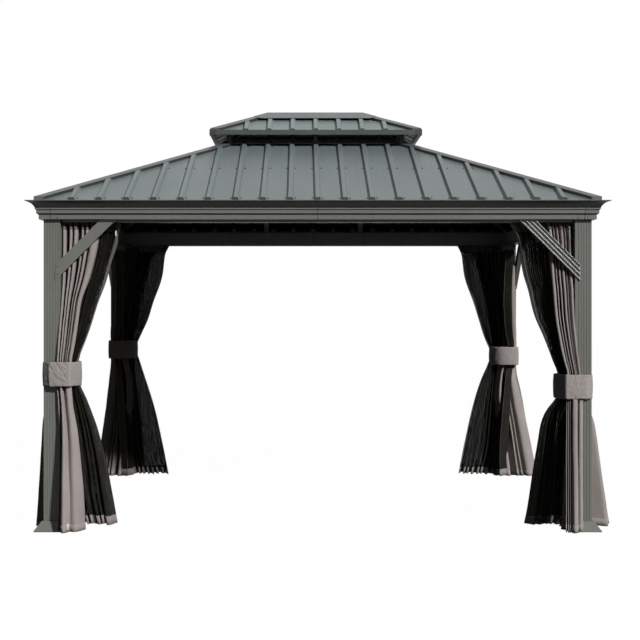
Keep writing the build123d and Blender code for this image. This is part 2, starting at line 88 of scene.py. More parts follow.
class Wire:
    """The value that one output of a node gives."""

    def __init__(self, tree, socket):
        self.tree = tree
        self.socket = socket

    def __add__(self, other):
        return maths("ADD", self, other)

    def __sub__(self, other):
        return maths("SUBTRACT", self, other)

    def __mul__(self, other):
        return maths("MULTIPLY", self, other)

    def __truediv__(self, other):
        return maths("DIVIDE", self, other)

    def __gt__(self, other):
        return maths("GREATER_THAN", self, other)

    def __lt__(self, other):
        return maths("LESS_THAN", self, other)

    def __abs__(self):
        return maths("ABSOLUTE", self)


def join(made, inputs):
    """Gives a node its inputs, as values or as wires."""
    for key, value in inputs.items():
        if isinstance(value, Wire):
            value.tree.links.new(value.socket, made.inputs[key])
        else:
            made.inputs[key].default_value = value


def node(tree, kind, inputs, **settings):
    """A new shader node with its settings and inputs."""
    made = tree.nodes.new("ShaderNode" + kind)
    for key, value in settings.items():
        setattr(made, key, value)
    join(made, inputs)
    return made


def wire(tree, kind, inputs, output=0, **settings):
    """The wire from one output of a new node."""
    return Wire(tree, node(tree, kind, inputs, **settings).outputs[output])


def new_material(name):
    """An empty node material with its output and one Principled shader."""
    material = bpy.data.materials.new(name)
    material.use_nodes = True
    tree = material.node_tree
    tree.nodes.clear()
    shader = node(tree, "BsdfPrincipled", {})
    output = node(tree, "OutputMaterial", {"Surface": Wire(tree, shader.outputs["BSDF"])})
    return material, tree, shader, output


def noise_at(place, scale, detail=3.0, roughness=0.5):
    """A noise texture read at the given coordinates."""
    inputs = {"Vector": place, "Scale": scale, "Detail": detail, "Roughness": roughness}
    return wire(place.tree, "TexNoise", inputs, "Fac")


def stretched(place, scale):
    """Coordinates stretched along each axis by the given factors."""
    return wire(place.tree, "Mapping", {"Vector": place, "Scale": scale})


def remap(value, low, high, out_low, out_high):
    """A value carried from one range to another, and held inside it."""
    ends = {"From Min": low, "From Max": high, "To Min": out_low, "To Max": out_high}
    return wire(value.tree, "MapRange", {"Value": value, **ends}, "Result")


def maths(operation, *values):
    """One Math node on a wire and what follows it."""
    return wire(values[0].tree, "Math", dict(enumerate(values)), operation=operation)


def apart(vector):
    """The X, Y and Z of a vector wire."""
    split = node(vector.tree, "SeparateXYZ", {0: vector})
    return {axis: Wire(vector.tree, split.outputs[axis]) for axis in "XYZ"}


def blend_colours(amount, first, second):
    """A colour mixed from two colours or wires by a factor."""
    ends = [(*value, 1.0) if isinstance(value, tuple) else value for value in (first, second)]
    return wire(amount.tree, "Mix", {0: amount, 6: ends[0], 7: ends[1]}, 2, data_type="RGBA")


def bump(shader, height, distance, strength, normal=None):
    """A height joined to the shader's normal, over another normal where one is given."""
    inputs = {"Distance": distance, "Strength": strength, "Height": height}
    if normal is not None:
        inputs["Normal"] = normal
    join(shader, {"Normal": wire(height.tree, "Bump", inputs, "Normal")})


def place_on(tree, kind="Object"):
    """Object coordinates, or the cloth's own UV coordinates, in metres."""
    return wire(tree, "TexCoord", {}, kind)


def geometry(tree, output):
    """One of the surface's own directions."""
    return wire(tree, "NewGeometry", {}, output)


def shade(colour, factor):
    """A colour made lighter or darker by a factor."""
    return tuple(channel * factor for channel in colour)


def clouded(tone, low, high, colour, dark, light):
    """A colour that drifts between a darker and a lighter shade."""
    return blend_colours(remap(tone, low, high, 0.0, 1.0), shade(colour, dark), shade(colour, light))


def finished(shader, colour, roughness, specular):
    """Gives a shader its colour, roughness and shine."""
    join(shader, {"Base Color": colour, "Roughness": roughness, "Specular IOR Level": specular})


FRAME_COLOUR = (0.141, 0.144, 0.127)
# Near white, for the edges' wear and painted highlight.
EDGE_WEAR_AND_GLINT_COLOUR = (0.86, 0.87, 0.85)
JOINT_HALF = 0.0022


def painted_shade_below(mixed, dark):
    """Painted shade: a colour that darkens on faces that look down."""
    up = apart(geometry(mixed.tree, "True Normal"))["Z"]
    return blend_colours(remap(up, -0.02, -0.25, 0.0, 1.0), mixed, dark)


def joint_line(place, mixed, joint, dark):
    """A dark line where two lengths of beam meet, at a distance either side of the middle."""
    away = abs(abs(apart(place)["X"]) - joint)
    return blend_colours(away < JOINT_HALF, mixed, dark)


def bright_edges(place, mixed, rounded, edge_wear_and_glint, fins):
    """Lighter colour along the edges: partly wear, and partly a painted highlight where the brace fins catch
    the light. On one half of the piece only where fins names that half.
    """
    inputs = {0: rounded, 1: geometry(place.tree, "Normal")}
    turned = wire(place.tree, "VectorMath", inputs, "Value", operation="DOT_PRODUCT")
    worn_and_glinting = remap(turned, 0.996, 0.965, 0.0, edge_wear_and_glint)
    if fins is not None:
        axis, sign = fins
        worn_and_glinting = worn_and_glinting * (apart(place)[axis] * sign > 0.0)
    return blend_colours(worn_and_glinting, mixed, EDGE_WEAR_AND_GLINT_COLOUR)


def painted_metal(
    name, colour, roughness, spread=0.08, grain=900.0, specular=0.5, under=1.0, joints=(), edge=0.0, edge_wear_and_glint=0.0,
    fins=None,
):
    """Powder coat: a fine orange-peel surface with faint clouds, streaks and specks, painted shade on faces
    that look down, and lighter edges that are partly wear and partly a painted highlight.
    """
    material, tree, shader, _ = new_material(name)
    place = place_on(tree)
    cloud = noise_at(place, 2.4, 4.0, 0.55)
    streak = noise_at(stretched(place, (26.0, 26.0, 1.4)), 1.0)
    fleck = noise_at(place, grain, 2.0, 0.6)
    tone = cloud * 0.6 + streak * 0.4 + (fleck * 0.22 - 0.11)
    mixed = clouded(tone, 0.3, 0.7, colour, 1.0 - spread, 1.0 + spread)
    # Faces that look down get a painted shade, darker by the factor under.
    if under < 1.0:
        mixed = painted_shade_below(mixed, shade(colour, under))
    for joint in joints:
        mixed = joint_line(place, mixed, joint, shade(colour, 0.12))
    rounded = wire(tree, "Bevel", {"Radius": edge}, samples=6) if edge > 0.0 else None
    # Edges lightened: a little wear, and on the brace fins a strong painted highlight.
    if edge_wear_and_glint > 0.0:
        mixed = bright_edges(place, mixed, rounded, edge_wear_and_glint, fins)
    bump(shader, fleck, 0.00022, 0.6, rounded)
    finished(shader, mixed, remap(cloud, 0.3, 0.7, roughness - 0.05, roughness + 0.06), specular)
    return material


def pencil_lines(place, normal):
    """The two low ribs pressed into each pan, as a height from nought to one."""
    where = apart(place)
    sideways = abs(normal["X"]) > abs(normal["Y"])
    along = (where["Y"] - where["X"]) * sideways + where["X"]
    from_middle = abs(maths("FRACT", along / LOWER_PITCH) - 0.5)
    return remap(abs(from_middle - 0.13), 0.0, 0.026, 1.0, 0.0)


def roof_sheet(name, colour, roughness=0.42):
    """Coil-coated steel: faint oil-canning, run-off streaks, dust and a painted shade on the underside."""
    material, tree, shader, _ = new_material(name)
    place = place_on(tree)
    normal = apart(geometry(tree, "True Normal"))
    cloud = noise_at(place, 1.7, 5.0, 0.6)
    pan = noise_at(stretched(place, (5.2, 1.1, 1.1)), 1.0, 2.0)
    dirt = noise_at(place, 46.0, 4.0, 0.65)
    tone = cloud * 0.55 + pan * 0.45 + (dirt * 0.18 - 0.09)
    # Faces that look down take a near-black painted shade.
    mixed = blend_colours(normal["Z"] > 0.0, ROOF_UNDERSIDE_SHADE, clouded(tone, 0.32, 0.68, colour, 0.86, 1.13))
    finished(shader, mixed, remap(cloud, 0.3, 0.7, roughness - 0.06, roughness + 0.08), 0.5)
    wave = noise_at(stretched(place, (7.0, 2.0, 2.0)), 1.0, 1.0, 0.4)
    fleck = noise_at(place, 800.0, 2.0, 0.6)
    bump(shader, wave * 6.0 + fleck * 0.1 + pencil_lines(place, normal) * 1.6, 0.0012, 0.35)
    return material


ROOF_COLOUR = (0.128, 0.154, 0.154)
# Near-black painted shade for the roof's underside.
ROOF_UNDERSIDE_SHADE = (0.022, 0.024, 0.024)
CLOTH_COLOUR = (0.310, 0.276, 0.262)
BAND_COLOUR = (0.324, 0.292, 0.276)
BORDER_COLOUR = (0.150, 0.142, 0.130)
NET_COLOUR = (0.015, 0.014, 0.011)
BEAM_JOINTS = (0.0, 1.68)

FRAME_PAINT = painted_metal("frame_powder_coat", FRAME_COLOUR, 0.46, specular=0.3, edge=0.0012, edge_wear_and_glint=0.10)
# Beams and cornice: painted shade on faces that look down, so the cove reads as in shade, and dark joint
# lines.
BEAM_SHADED_PAINT = painted_metal(
    "beam_coat_painted_shade", FRAME_COLOUR, 0.46, specular=0.3, under=0.08, joints=BEAM_JOINTS, edge=0.0012
)
# Inner frames coloured near black as painted shade under the roof.
INNER_SHADE_PAINT = painted_metal("inner_frame_painted_shade", (0.040, 0.041, 0.038), 0.5, specular=0.3)
# Lapped sheet edges coloured dark as the painted shadow beside each rib.
SEAM_SHADOW_PAINT = painted_metal("sheet_lap_painted_shadow", (0.030, 0.036, 0.036), 0.5)
FASCIA_PAINT = painted_metal("fascia_paint", (0.036, 0.040, 0.040), 0.42, 0.16, 700.0)
ROOF_PAINT = roof_sheet("roof_coil_paint", ROOF_COLOUR)
UPPER_ROOF_PAINT = roof_sheet("upper_roof_coil_paint", shade(ROOF_COLOUR, 1.22))
TRIM_PAINT = painted_metal("roof_trim_paint", (0.085, 0.095, 0.094), 0.42, 0.16, 700.0)
# Curtain rail coloured near black as painted shade under the beam.
RAIL_SHADE_PAINT = painted_metal("rail_painted_shade", (0.030, 0.031, 0.030), 0.38)
# Near-black painted shade for the vent and other hidden steel, the hip fillers and the fascia corner plates.
SHADE_BLACK_PAINT = painted_metal("hidden_steel_painted_shade", (0.010, 0.011, 0.010), 0.5)

SLOT_FINISH = {
    "frame_metal": FRAME_PAINT,
    "roof_steel": ROOF_PAINT,
    "rail_metal": RAIL_SHADE_PAINT,
    "hidden_steel": SHADE_BLACK_PAINT,
}
NAMED_FINISH = {
    **dict.fromkeys(("beam", "cornice"), BEAM_SHADED_PAINT),
    **dict.fromkeys(("upper_hip_caps", "lower_hip_caps", "ridge_cap"), TRIM_PAINT),
    **dict.fromkeys(("hip_rafters", "purlins", "rafters", "upper_frame", "vent_frame"), INNER_SHADE_PAINT),
    "upper_roof": UPPER_ROOF_PAINT,
    "upper_fascia": FASCIA_PAINT,
}
# The brace of each side that shows its long grooves: the half of the piece it is on, where the fins' edges
# get a painted highlight.
FIN_SIDES = {"front": ("X", 1.0), "back": ("X", -1.0), "right": ("Y", 1.0), "left": ("Y", -1.0)}
for side_name, fin_side in FIN_SIDES.items():
    brace_name = "braces_" + side_name
    # Brace paint with a strong painted highlight along its fin edges.
    NAMED_FINISH[brace_name] = painted_metal(
        brace_name + "_powder_coat", FRAME_COLOUR, 0.36, specular=0.4, edge=0.0042, edge_wear_and_glint=0.9, fins=fin_side
    )


def finish_node(name, material):
    """Gives a CAD node its finish."""
    piece = frame["nodes"][name]
    for slot in piece.material_slots:
        slot.material = material
    if not piece.material_slots:
        piece.data.materials.append(material)


for part in RECORD["subparts"]:
    paint = SLOT_FINISH.get(part["material_slot"])
    for name_start, named_paint in NAMED_FINISH.items():
        if part["node"].startswith(name_start):
            paint = named_paint
    if paint is not None:
        finish_node(part["node"], paint)


# Cloth finishes. Cloth pieces carry UV coordinates in metres: across the cloth, then up it.

def weave_height(place, pitch):
    """The height of a plain weave with the given thread pitch."""
    where = apart(place)
    warp, weft = [maths("SINE", where[axis] * (2.0 * math.pi / pitch)) for axis in "XY"]
    return warp * weft


def woven_cloth(name, colour, roughness=0.82, pitch=0.0016, spread=0.10, crinkle=0.0):
    """Coated polyester: a fine weave with slubs, soft creases and faint clouds."""
    material, tree, shader, _ = new_material(name)
    place = place_on(tree, "UV")
    world_place = place_on(tree)
    slub = noise_at(stretched(place, (700.0, 9.0, 1.0)), 1.0, 2.0)
    weft_slub = noise_at(stretched(place, (9.0, 700.0, 1.0)), 1.0, 2.0)
    cloud = noise_at(world_place, 5.0, 4.0, 0.6)
    crease = noise_at(world_place, 38.0, 4.0, 0.62)
    tone = (slub + weft_slub) * 0.25 + cloud * 0.5
    finished(shader, clouded(tone, 0.35, 0.65, colour, 1.0 - spread, 1.0 + spread), roughness, 0.06)
    join(shader, {"Sheen Weight": 0.05, "Sheen Roughness": 0.5})
    height = crease * 9.0 + weave_height(place, pitch) * 0.35
    if crinkle > 0.0:
        height = height + noise_at(stretched(place, (60.0, 130.0, 1.0)), 1.0, 3.0, 0.6) * crinkle
    bump(shader, height, 0.0003, 0.8)
    return material


def net_cloth(name, colour, pitch=0.0018, thread=0.88):
    """Insect netting: dark threads with clear holes between them."""
    material, tree, shader, _ = new_material(name)
    where = apart(place_on(tree, "UV"))
    threads = [maths("FRACT", where[axis] / pitch) < thread for axis in "XY"]
    cloud = noise_at(place_on(tree), 14.0, 4.0, 0.6)
    finished(shader, clouded(cloud, 0.3, 0.7, colour, 0.7, 1.4), 0.7, 0.05)
    join(shader, {"Alpha": maths("MAXIMUM", *threads)})
    bump(shader, cloud, 0.002, 0.5)
    return material


CURTAIN_FINISH = woven_cloth("curtain_weave", CLOTH_COLOUR)
BAND_FINISH = woven_cloth("band_weave", BAND_COLOUR, 0.7)
TAPE_FINISH = woven_cloth("tape_weave", shade(CLOTH_COLOUR, 0.8), 0.75, 0.0011)
BORDER_FINISH = woven_cloth("net_border_weave", BORDER_COLOUR, 0.45, 0.0022, 0.60, 80.0)
# A darkened copy of the border tape, as painted shade on the front nettings below the strap.
SHADED_BORDER_FINISH = woven_cloth("net_border_painted_shade", shade(BORDER_COLOUR, 0.16), 0.6, 0.0022, 0.45, 60.0)
NET_FINISH = net_cloth("insect_netting", NET_COLOUR)
PULL_FINISH = painted_metal("zip_metal", (0.80, 0.78, 0.72), 0.32, 0.1, 900.0, 0.7)
SCREW_FINISH = painted_metal("screw_heads", (0.035, 0.036, 0.035), 0.4)


# Mesh helpers.

def make_piece(name, points, faces, material, uvs=None, smooth=True):
    """A mesh object that rides on the gazebo's only body."""
    data = bpy.data.meshes.new(name)
    data.from_pydata(points, [], faces)
    if uvs is not None:
        layer = data.uv_layers.new(name="UVMap")
        for loop in data.loops:
            layer.data[loop.index].uv = uvs[loop.vertex_index]
    if smooth:
        data.polygons.foreach_set("use_smooth", [True] * len(data.polygons))
    data.materials.append(material)
    data.update()
    piece = bpy.data.objects.new(name, data)
    bpy.context.scene.collection.objects.link(piece)
    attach(piece, "root")
    return piece


class Solids:
    """Closed shapes gathered for one piece."""

    def __init__(self):
        self.points = []
        self.faces = []

    def prism(self, first, second):
        """A solid between two outlines with the same number of points."""
        start, count = len(self.points), len(first)
        self.points += list(first) + list(second)
        self.faces.append(tuple(start + index for index in range(count)))
        self.faces.append(tuple(start + count + index for index in reversed(range(count))))
        for index in range(count):
            after = (index + 1) % count
            self.faces.append((start + index, start + count + index, start + count + after, start + after))

    def cuboid(self, low, high):
        """A box between two opposite corners."""
        outline = [(low[0], low[1]), (high[0], low[1]), (high[0], high[1]), (low[0], high[1])]
        self.prism([(x, y, low[2]) for x, y in outline], [(x, y, high[2]) for x, y in outline])

    def disc(self, centre, axis, radius, height, sides=10, tip=0.6):
        """A short round head standing on a surface."""
        axis = Vector(axis).normalized()
        across = axis.orthogonal().normalized()
        other = axis.cross(across)
        rings = []
        for scale, lift in ((1.0, 0.0), (1.0, 0.6 * height), (tip, height)):
            ring = []
            for index in range(sides):
                turn = 2.0 * math.pi * index / sides
                arm = across * math.cos(turn) + other * math.sin(turn)
                ring.append(tuple(Vector(centre) + arm * radius * scale + axis * lift))
            rings.append(ring)
        self.prism(rings[0], rings[1])
        self.prism(rings[1], rings[2])

    def piece(self, name, material):
        """The gathered solids as one object with outward faces."""
        result = make_piece(name, self.points, self.faces, material, None, False)
        mesh = bmesh.new()
        mesh.from_mesh(result.data)
        bmesh.ops.recalc_face_normals(mesh, faces=mesh.faces)
        mesh.to_mesh(result.data)
        mesh.free()
        return result


def clamp(value, low=0.0, high=1.0):
    """A value held between two limits."""
    return max(low, min(high, value))


def ease(value):
    """A smooth step from nought to one."""
    value = clamp(value)
    return value * value * (3.0 - 2.0 * value)


def gentle(keys, place):
    """Reads a table of (place, values) with a smooth curve that never overshoots. Places fall."""
    if place >= keys[0][0]:
        return list(keys[0][1])
    if place <= keys[-1][0]:
        return list(keys[-1][1])
    index = next(row for row in range(len(keys)) if keys[row + 1][0] <= place)
    (z0, start), (z1, end) = keys[index:index + 2]
    span = z1 - z0
    t = (place - z0) / span
    u = 1.0 - t
    result = []
    for channel, (v0, v1) in enumerate(zip(start, end)):
        slope = (v1 - v0) / span
        ends = []
        for near in (index - 1, index + 1):
            if near < 0 or near + 1 >= len(keys):
                ends.append(slope)
                continue
            (z_near, before), (z_far, after) = keys[near:near + 2]
            other = (after[channel] - before[channel]) / (z_far - z_near)
            ends.append(2.0 * other * slope / (other + slope) if other * slope > 0.0 else 0.0)
        result.append(
            v0 * (1.0 + 2.0 * t) * u * u + ends[0] * span * t * u * u
            + v1 * t * t * (3.0 - 2.0 * t) - ends[1] * span * t * t * u
        )
    return result


def curve_through(points, count):
    """Points spaced evenly along a smooth curve through control points."""
    fine = []
    steps = 16
    padded = [points[0], *points, points[-1]]
    for corners in zip(padded, padded[1:], padded[2:], padded[3:]):
        for step in range(steps):
            t = step / steps
            fine.append(tuple(
                0.5 * (
                    2.0 * b + (c - a) * t
                    + (2.0 * a - 5.0 * b + 4.0 * c - d) * t * t
                    + (3.0 * b - a - 3.0 * c + d) * t ** 3
                )
                for a, b, c, d in zip(*corners)
            ))
    fine.append(tuple(points[-1]))
    return resampled(fine, count)


def resampled(line, count):
    """A line of points resampled to an even spacing."""
    lengths = [0.0]
    for first, second in zip(line, line[1:]):
        lengths.append(lengths[-1] + math.dist(first, second))
    total = lengths[-1]
    result = []
    index = 0
    for step in range(count):
        want = total * step / (count - 1)
        while index < len(line) - 2 and lengths[index + 1] < want:
            index += 1
        span = max(lengths[index + 1] - lengths[index], 1e-9)
        part = clamp((want - lengths[index]) / span)
        result.append(tuple(a + (b - a) * part for a, b in zip(line[index], line[index + 1])))
    return result


# Roof and frame details. A slope's own place is u along its side, v out from the centre, and the height.

def is_long(side):
    """Whether a side is the front or the back."""
    return side in ("front", "back")


def on_side(side, u, v, z):
    """A slope's place in the gazebo's frame."""
    return {"front": (u, -v, z), "back": (-u, v, z), "left": (-v, -u, z), "right": (v, u, z)}[side]


def outwards(side, y):
    """A distance from the ridge line as a distance from the centre of a side."""
    return y if is_long(side) else y + RIDGE_HALF


def half_width(side, v):
    """How far a slope reaches either way at a distance from the centre."""
    return v + RIDGE_HALF if is_long(side) else v - RIDGE_HALF


class Tier:
    """One tier of the roof: its eave, head and seat, the pitch of its ribs and how many it has."""

    def __init__(self, edge, head, seat, pitch, long_ribs, short_ribs):
        self.edge = edge
        self.head = head
        self.seat = seat
        self.pitch = pitch
        self.ribs = {"front": long_ribs, "back": long_ribs, "left": short_ribs, "right": short_ribs}

    def under(self, side, v):
        """The height of the sheet's underside."""
        return self.seat + (outwards(side, self.edge) - v) * ROOF_TAN

    def rib_places(self, side):
        """The middles of a side's ribs."""
        count = self.ribs[side]
        return [number * self.pitch for number in range(-count, count + 1)]


LOWER_TIER = Tier(PANEL_EDGE, PANEL_HEAD, ROOF_SEAT, LOWER_PITCH, 9, 7)
UPPER_TIER = Tier(UPPER_EDGE - 0.003, 0.0, UPPER_SEAT + 0.003 * ROOF_TAN, UPPER_PITCH, 3, 1)
SLOPE = math.hypot(1.0, ROOF_TAN)
PLUG_DEPTH = 0.010
WASHER_RADIUS = 0.0058
HEX_RADIUS = 0.0036
PAN_RADIUS = 0.0052
PLATE_LEVELS = (2.646, 2.686)
# Each frame screw's distance in from the post's outer side, and its height.
FRAME_SCREWS = ((0.0895, 1.6665), (0.0895, 1.6225), (0.0920, 1.9740))


def bar_up(solids, tier, side, ends, outline):
    """A bar up a slope, its outline given across the slope and above the sheet's underside."""
    solids.prism(*[[on_side(side, u, v, tier.under(side, v) + z) for u, z in outline] for v in ends])


def close_ribs():
    """Plugs in the open ends of the ribs, at the eaves and at the top of the lower tier."""
    solids = Solids()
    base = RIB_BASE / 2.0 - 0.0012
    crest = RIB_CREST / 2.0 - 0.0008
    top = RIB_HEIGHT * SLOPE - 0.0004
    eaves = ((LOWER_TIER, PANEL_EDGE, -1.0), (UPPER_TIER, UPPER_TIER.edge, -1.0))
    for tier, edge, inwards in (*eaves, (LOWER_TIER, PANEL_HEAD, 1.0)):
        for side in SIDES:
            v = outwards(side, edge) + 0.002 * inwards
            for u in tier.rib_places(side):
                if abs(u) <= half_width(side, v) - 0.03:
                    outline = ((u - base, 0.0), (u + base, 0.0), (u + crest, top), (u - crest, top))
                    bar_up(solids, tier, side, (v, v + PLUG_DEPTH * inwards), outline)
    solids.piece("rib_closures", ROOF_PAINT)


def hip_filler(solids, sign_x, sign_y, turned, spans, foot_at):
    """A thin upright strip under one edge of a hip cap."""
    outlines = []
    for y in spans:
        low = foot_at(y)
        high = low + RIB_HEIGHT * SLOPE
        outline = []
        for back, z in ((0.008, low), (0.010, low), (0.010, high), (0.008, high)):
            step = CAP_ACROSS - back
            plan = (RIDGE_HALF + y, y - step) if turned else (RIDGE_HALF + y - step, y)
            outline.append((sign_x * plan[0], sign_y * plan[1], z))
        outlines.append(outline)
    solids.prism(*outlines)


def close_hips():
    """Fillers between the hip caps and the pans, coloured near black as painted shade, and a plate at each
    cap's lower end.
    """
    fillers, plates = Solids(), Solids()
    lift = SHEET * SLOPE
    spans = (
        (PANEL_EDGE, ROOF_SEAT, PANEL_HEAD + 0.020, PANEL_EDGE - 0.006),
        (UPPER_EDGE, UPPER_SEAT, CAP_ACROSS, UPPER_EDGE - 0.004),
    )
    for edge, seat, inner, outer in spans:
        foot = seat + (edge - outer) * ROOF_TAN
        top = foot + lift + RIB_HEIGHT * SLOPE
        far = RIDGE_HALF + outer
        for sign_x, sign_y in QUARTERS:
            for turned in (False, True):
                hip_filler(
                    fillers, sign_x, sign_y, turned, (outer, inner),
                    lambda y: seat + (edge - y) * ROOF_TAN + lift - 0.001,
                )
            for x_ends, y_ends in (
                ((far - CAP_ACROSS, far), (outer - 0.003, outer - 0.001)),
                ((far - 0.003, far - 0.001), (outer - CAP_ACROSS, outer)),
            ):
                x_low, x_high = sorted(sign_x * x for x in x_ends)
                y_low, y_high = sorted(sign_y * y for y in y_ends)
                plates.cuboid((x_low, y_low, foot - 0.004), (x_high, y_high, top))
    fillers.piece("hip_fillers", SHADE_BLACK_PAINT)
    plates.piece("hip_cap_ends", TRIM_PAINT)


def roof_seams():
    """The lapped edge of a sheet along the foot of every rib, coloured dark as a painted shadow beside the
    rib.
    """
    solids = Solids()
    low, high = SHEET * SLOPE - 0.0005, SHEET * SLOPE + 0.0014
    for tier in (LOWER_TIER, UPPER_TIER):
        for side in SIDES:
            outer = outwards(side, tier.edge) - 0.004
            gap = RIDGE_HALF if is_long(side) else -RIDGE_HALF
            for u in tier.rib_places(side):
                inner = max(outwards(side, tier.head) + 0.004, abs(u) - gap + 0.052)
                if tier is UPPER_TIER:
                    inner = max(inner, outwards(side, 0.0) + 0.11)
                if inner <= outer - 0.03:
                    left, right = u - 0.0262, u - 0.0222
                    outline = ((left, low), (right, low), (right, high), (left, high))
                    bar_up(solids, tier, side, (outer, inner), outline)
    solids.piece("sheet_laps", SEAM_SHADOW_PAINT)


def roof_screws():
    """Hex-headed screws with washers beside the ribs, in rows over the eave, the purlin and the head."""
    solids = Solids()
    for side in SIDES:
        axis = Vector(on_side(side, 0.0, ROOF_TAN, 1.0))
        for y in (PANEL_EDGE - 0.034, PANEL_EDGE - 0.620, PANEL_HEAD + 0.036):
            v = outwards(side, y)
            z = LOWER_TIER.under(side, v) + SHEET * SLOPE
            for rib in LOWER_TIER.rib_places(side):
                for u in (rib - 0.031, rib + 0.031):
                    if abs(u) > half_width(side, v) - 0.075:
                        continue
                    spot = on_side(side, u, v, z)
                    solids.disc(spot, axis, WASHER_RADIUS, 0.0022, 12, 0.9)
                    solids.disc(spot, axis, HEX_RADIUS, 0.0060, 6, 0.85)
    solids.piece("roof_screws", SCREW_FINISH)


def fascia_corners():
    """Angle plates on the corners of the upper fascia, coloured near black as painted shade."""
    solids = Solids()
    far_x, far_y = RIDGE_HALF + UPPER_EDGE, UPPER_EDGE
    leg, proud, sunk = 0.048, 0.0016, 0.0005
    outline = [
        (far_x + proud, far_y + proud), (far_x - leg, far_y + proud), (far_x - leg, far_y - sunk),
        (far_x - sunk, far_y - sunk), (far_x - sunk, far_y - leg), (far_x + proud, far_y - leg),
    ]
    for sign_x, sign_y in QUARTERS:
        solids.prism(*[[(sign_x * x, sign_y * y, z) for x, y in outline] for z in PLATE_LEVELS])
    solids.piece("fascia_corner_plates", SHADE_BLACK_PAINT)


def surface_from(side, u, z):
    """How far out the metal stands at a place on a side, found by looking at it from outside."""
    start = Vector(on_side(side, u, 4.0, z))
    towards = Vector(on_side(side, 0.0, -1.0, 0.0))
    depsgraph = bpy.context.evaluated_depsgraph_get()
    found, spot, *_ = bpy.context.scene.ray_cast(depsgraph, start, towards)
    if not found:
        return None
    return abs(spot.y) if is_long(side) else abs(spot.x)


def frame_screws():
    """The small pan-headed screws of the braces and of the beams at the posts."""
    solids = Solids()
    for side in SIDES:
        half = FACE_X if is_long(side) else FACE_Y
        axis = on_side(side, 0.0, 1.0, 0.0)
        for sign in (-1.0, 1.0):
            for inset, z in FRAME_SCREWS:
                u = sign * (half - inset)
                out = surface_from(side, u, z)
                if out is not None:
                    solids.disc(on_side(side, u, out - 0.0003, z), axis, PAN_RADIUS, 0.0026, 12, 0.7)
    solids.piece("frame_screws", SCREW_FINISH)


close_ribs()
close_hips()
roof_seams()
roof_screws()
fascia_corners()
frame_screws()


# Folds. A fold line is the plan of a pleated cloth in its own box: x runs from 0 to 1 along
# the rail, and depth from 0 at the outermost crest to 1 at the deepest valley.

def fold_line(folds, count):
    """The plan of a row of folds, each given as crest, side, valley, angle in degrees and flatness."""
    line = [(0.0, 0.0)]
    step = 0.002

    def walk(length, angle_at):
        steps = max(2, int(length / step))
        for index in range(steps):
            angle = angle_at((index + 0.5) / steps)
            x, y = line[-1]
            line.append((x + math.cos(angle) * length / steps, y + math.sin(angle) * length / steps))

    for crest, side, valley, degrees, flatness in folds:
        lean = math.radians(degrees)
        walk(side, lambda t: lean)
        walk(crest, lambda t: -lean * math.copysign(abs(2.0 * t - 1.0) ** flatness, 2.0 * t - 1.0))
        walk(side, lambda t: -lean)
        walk(valley, lambda t: lean * math.copysign(abs(2.0 * t - 1.0) ** 1.2, 2.0 * t - 1.0))
    line = resampled(line, count)
    xs, ys = zip(*line)
    x_low, y_high = min(xs), max(ys)
    width, depth = max(xs) - x_low, y_high - min(ys)
    return [((x - x_low) / width, (y_high - y) / depth) for x, y in line]


def loose_folds(count, seed, crest=0.035, side=0.055, angle=92.0, spread=0.35):
    """A row of uneven folds from a seeded draw."""
    draw = random.Random(seed)
    folds = []
    for _ in range(count):
        size = 1.0 + draw.uniform(-spread, spread)
        folds.append((
            crest * size,
            side * (1.0 + draw.uniform(-0.18, 0.18)),
            0.6 * crest * (1.0 + draw.uniform(-spread, spread)),
            angle + draw.uniform(-5.0, 4.0),
            draw.uniform(1.0, 2.2),
        ))
    return folds


def clear_of_post(a, b, z, gap=0.004):
    """Moves a point of cloth out of the post and its foot cover."""
    reach = 0.0
    if z < COVER_HEIGHT:
        reach = COVER_REACH * (1.0 - z / COVER_HEIGHT)
    edge = POST + reach + gap
    face = -reach - gap
    if a < edge and face < b < POST + reach:
        if b - face < edge - a:
            b = face
        else:
            a = edge
    return a, b


def corner_to_world(corner, side_type, a, b, z):
    """A point given along and in from a corner's outer faces."""
    sign_x = -1.0 if corner.endswith("left") else 1.0
    sign_y = -1.0 if corner.startswith("front") else 1.0
    if side_type == "long":
        return (sign_x * (FACE_X - a), sign_y * (FACE_Y - b), z)
    return (sign_x * (FACE_X - b), sign_y * (FACE_Y - a), z)


# How far above and below a strap the cloth creases, and how thick a tape is.
STRAP_PULL = 0.16
TAPE_THICKNESS = 0.0012


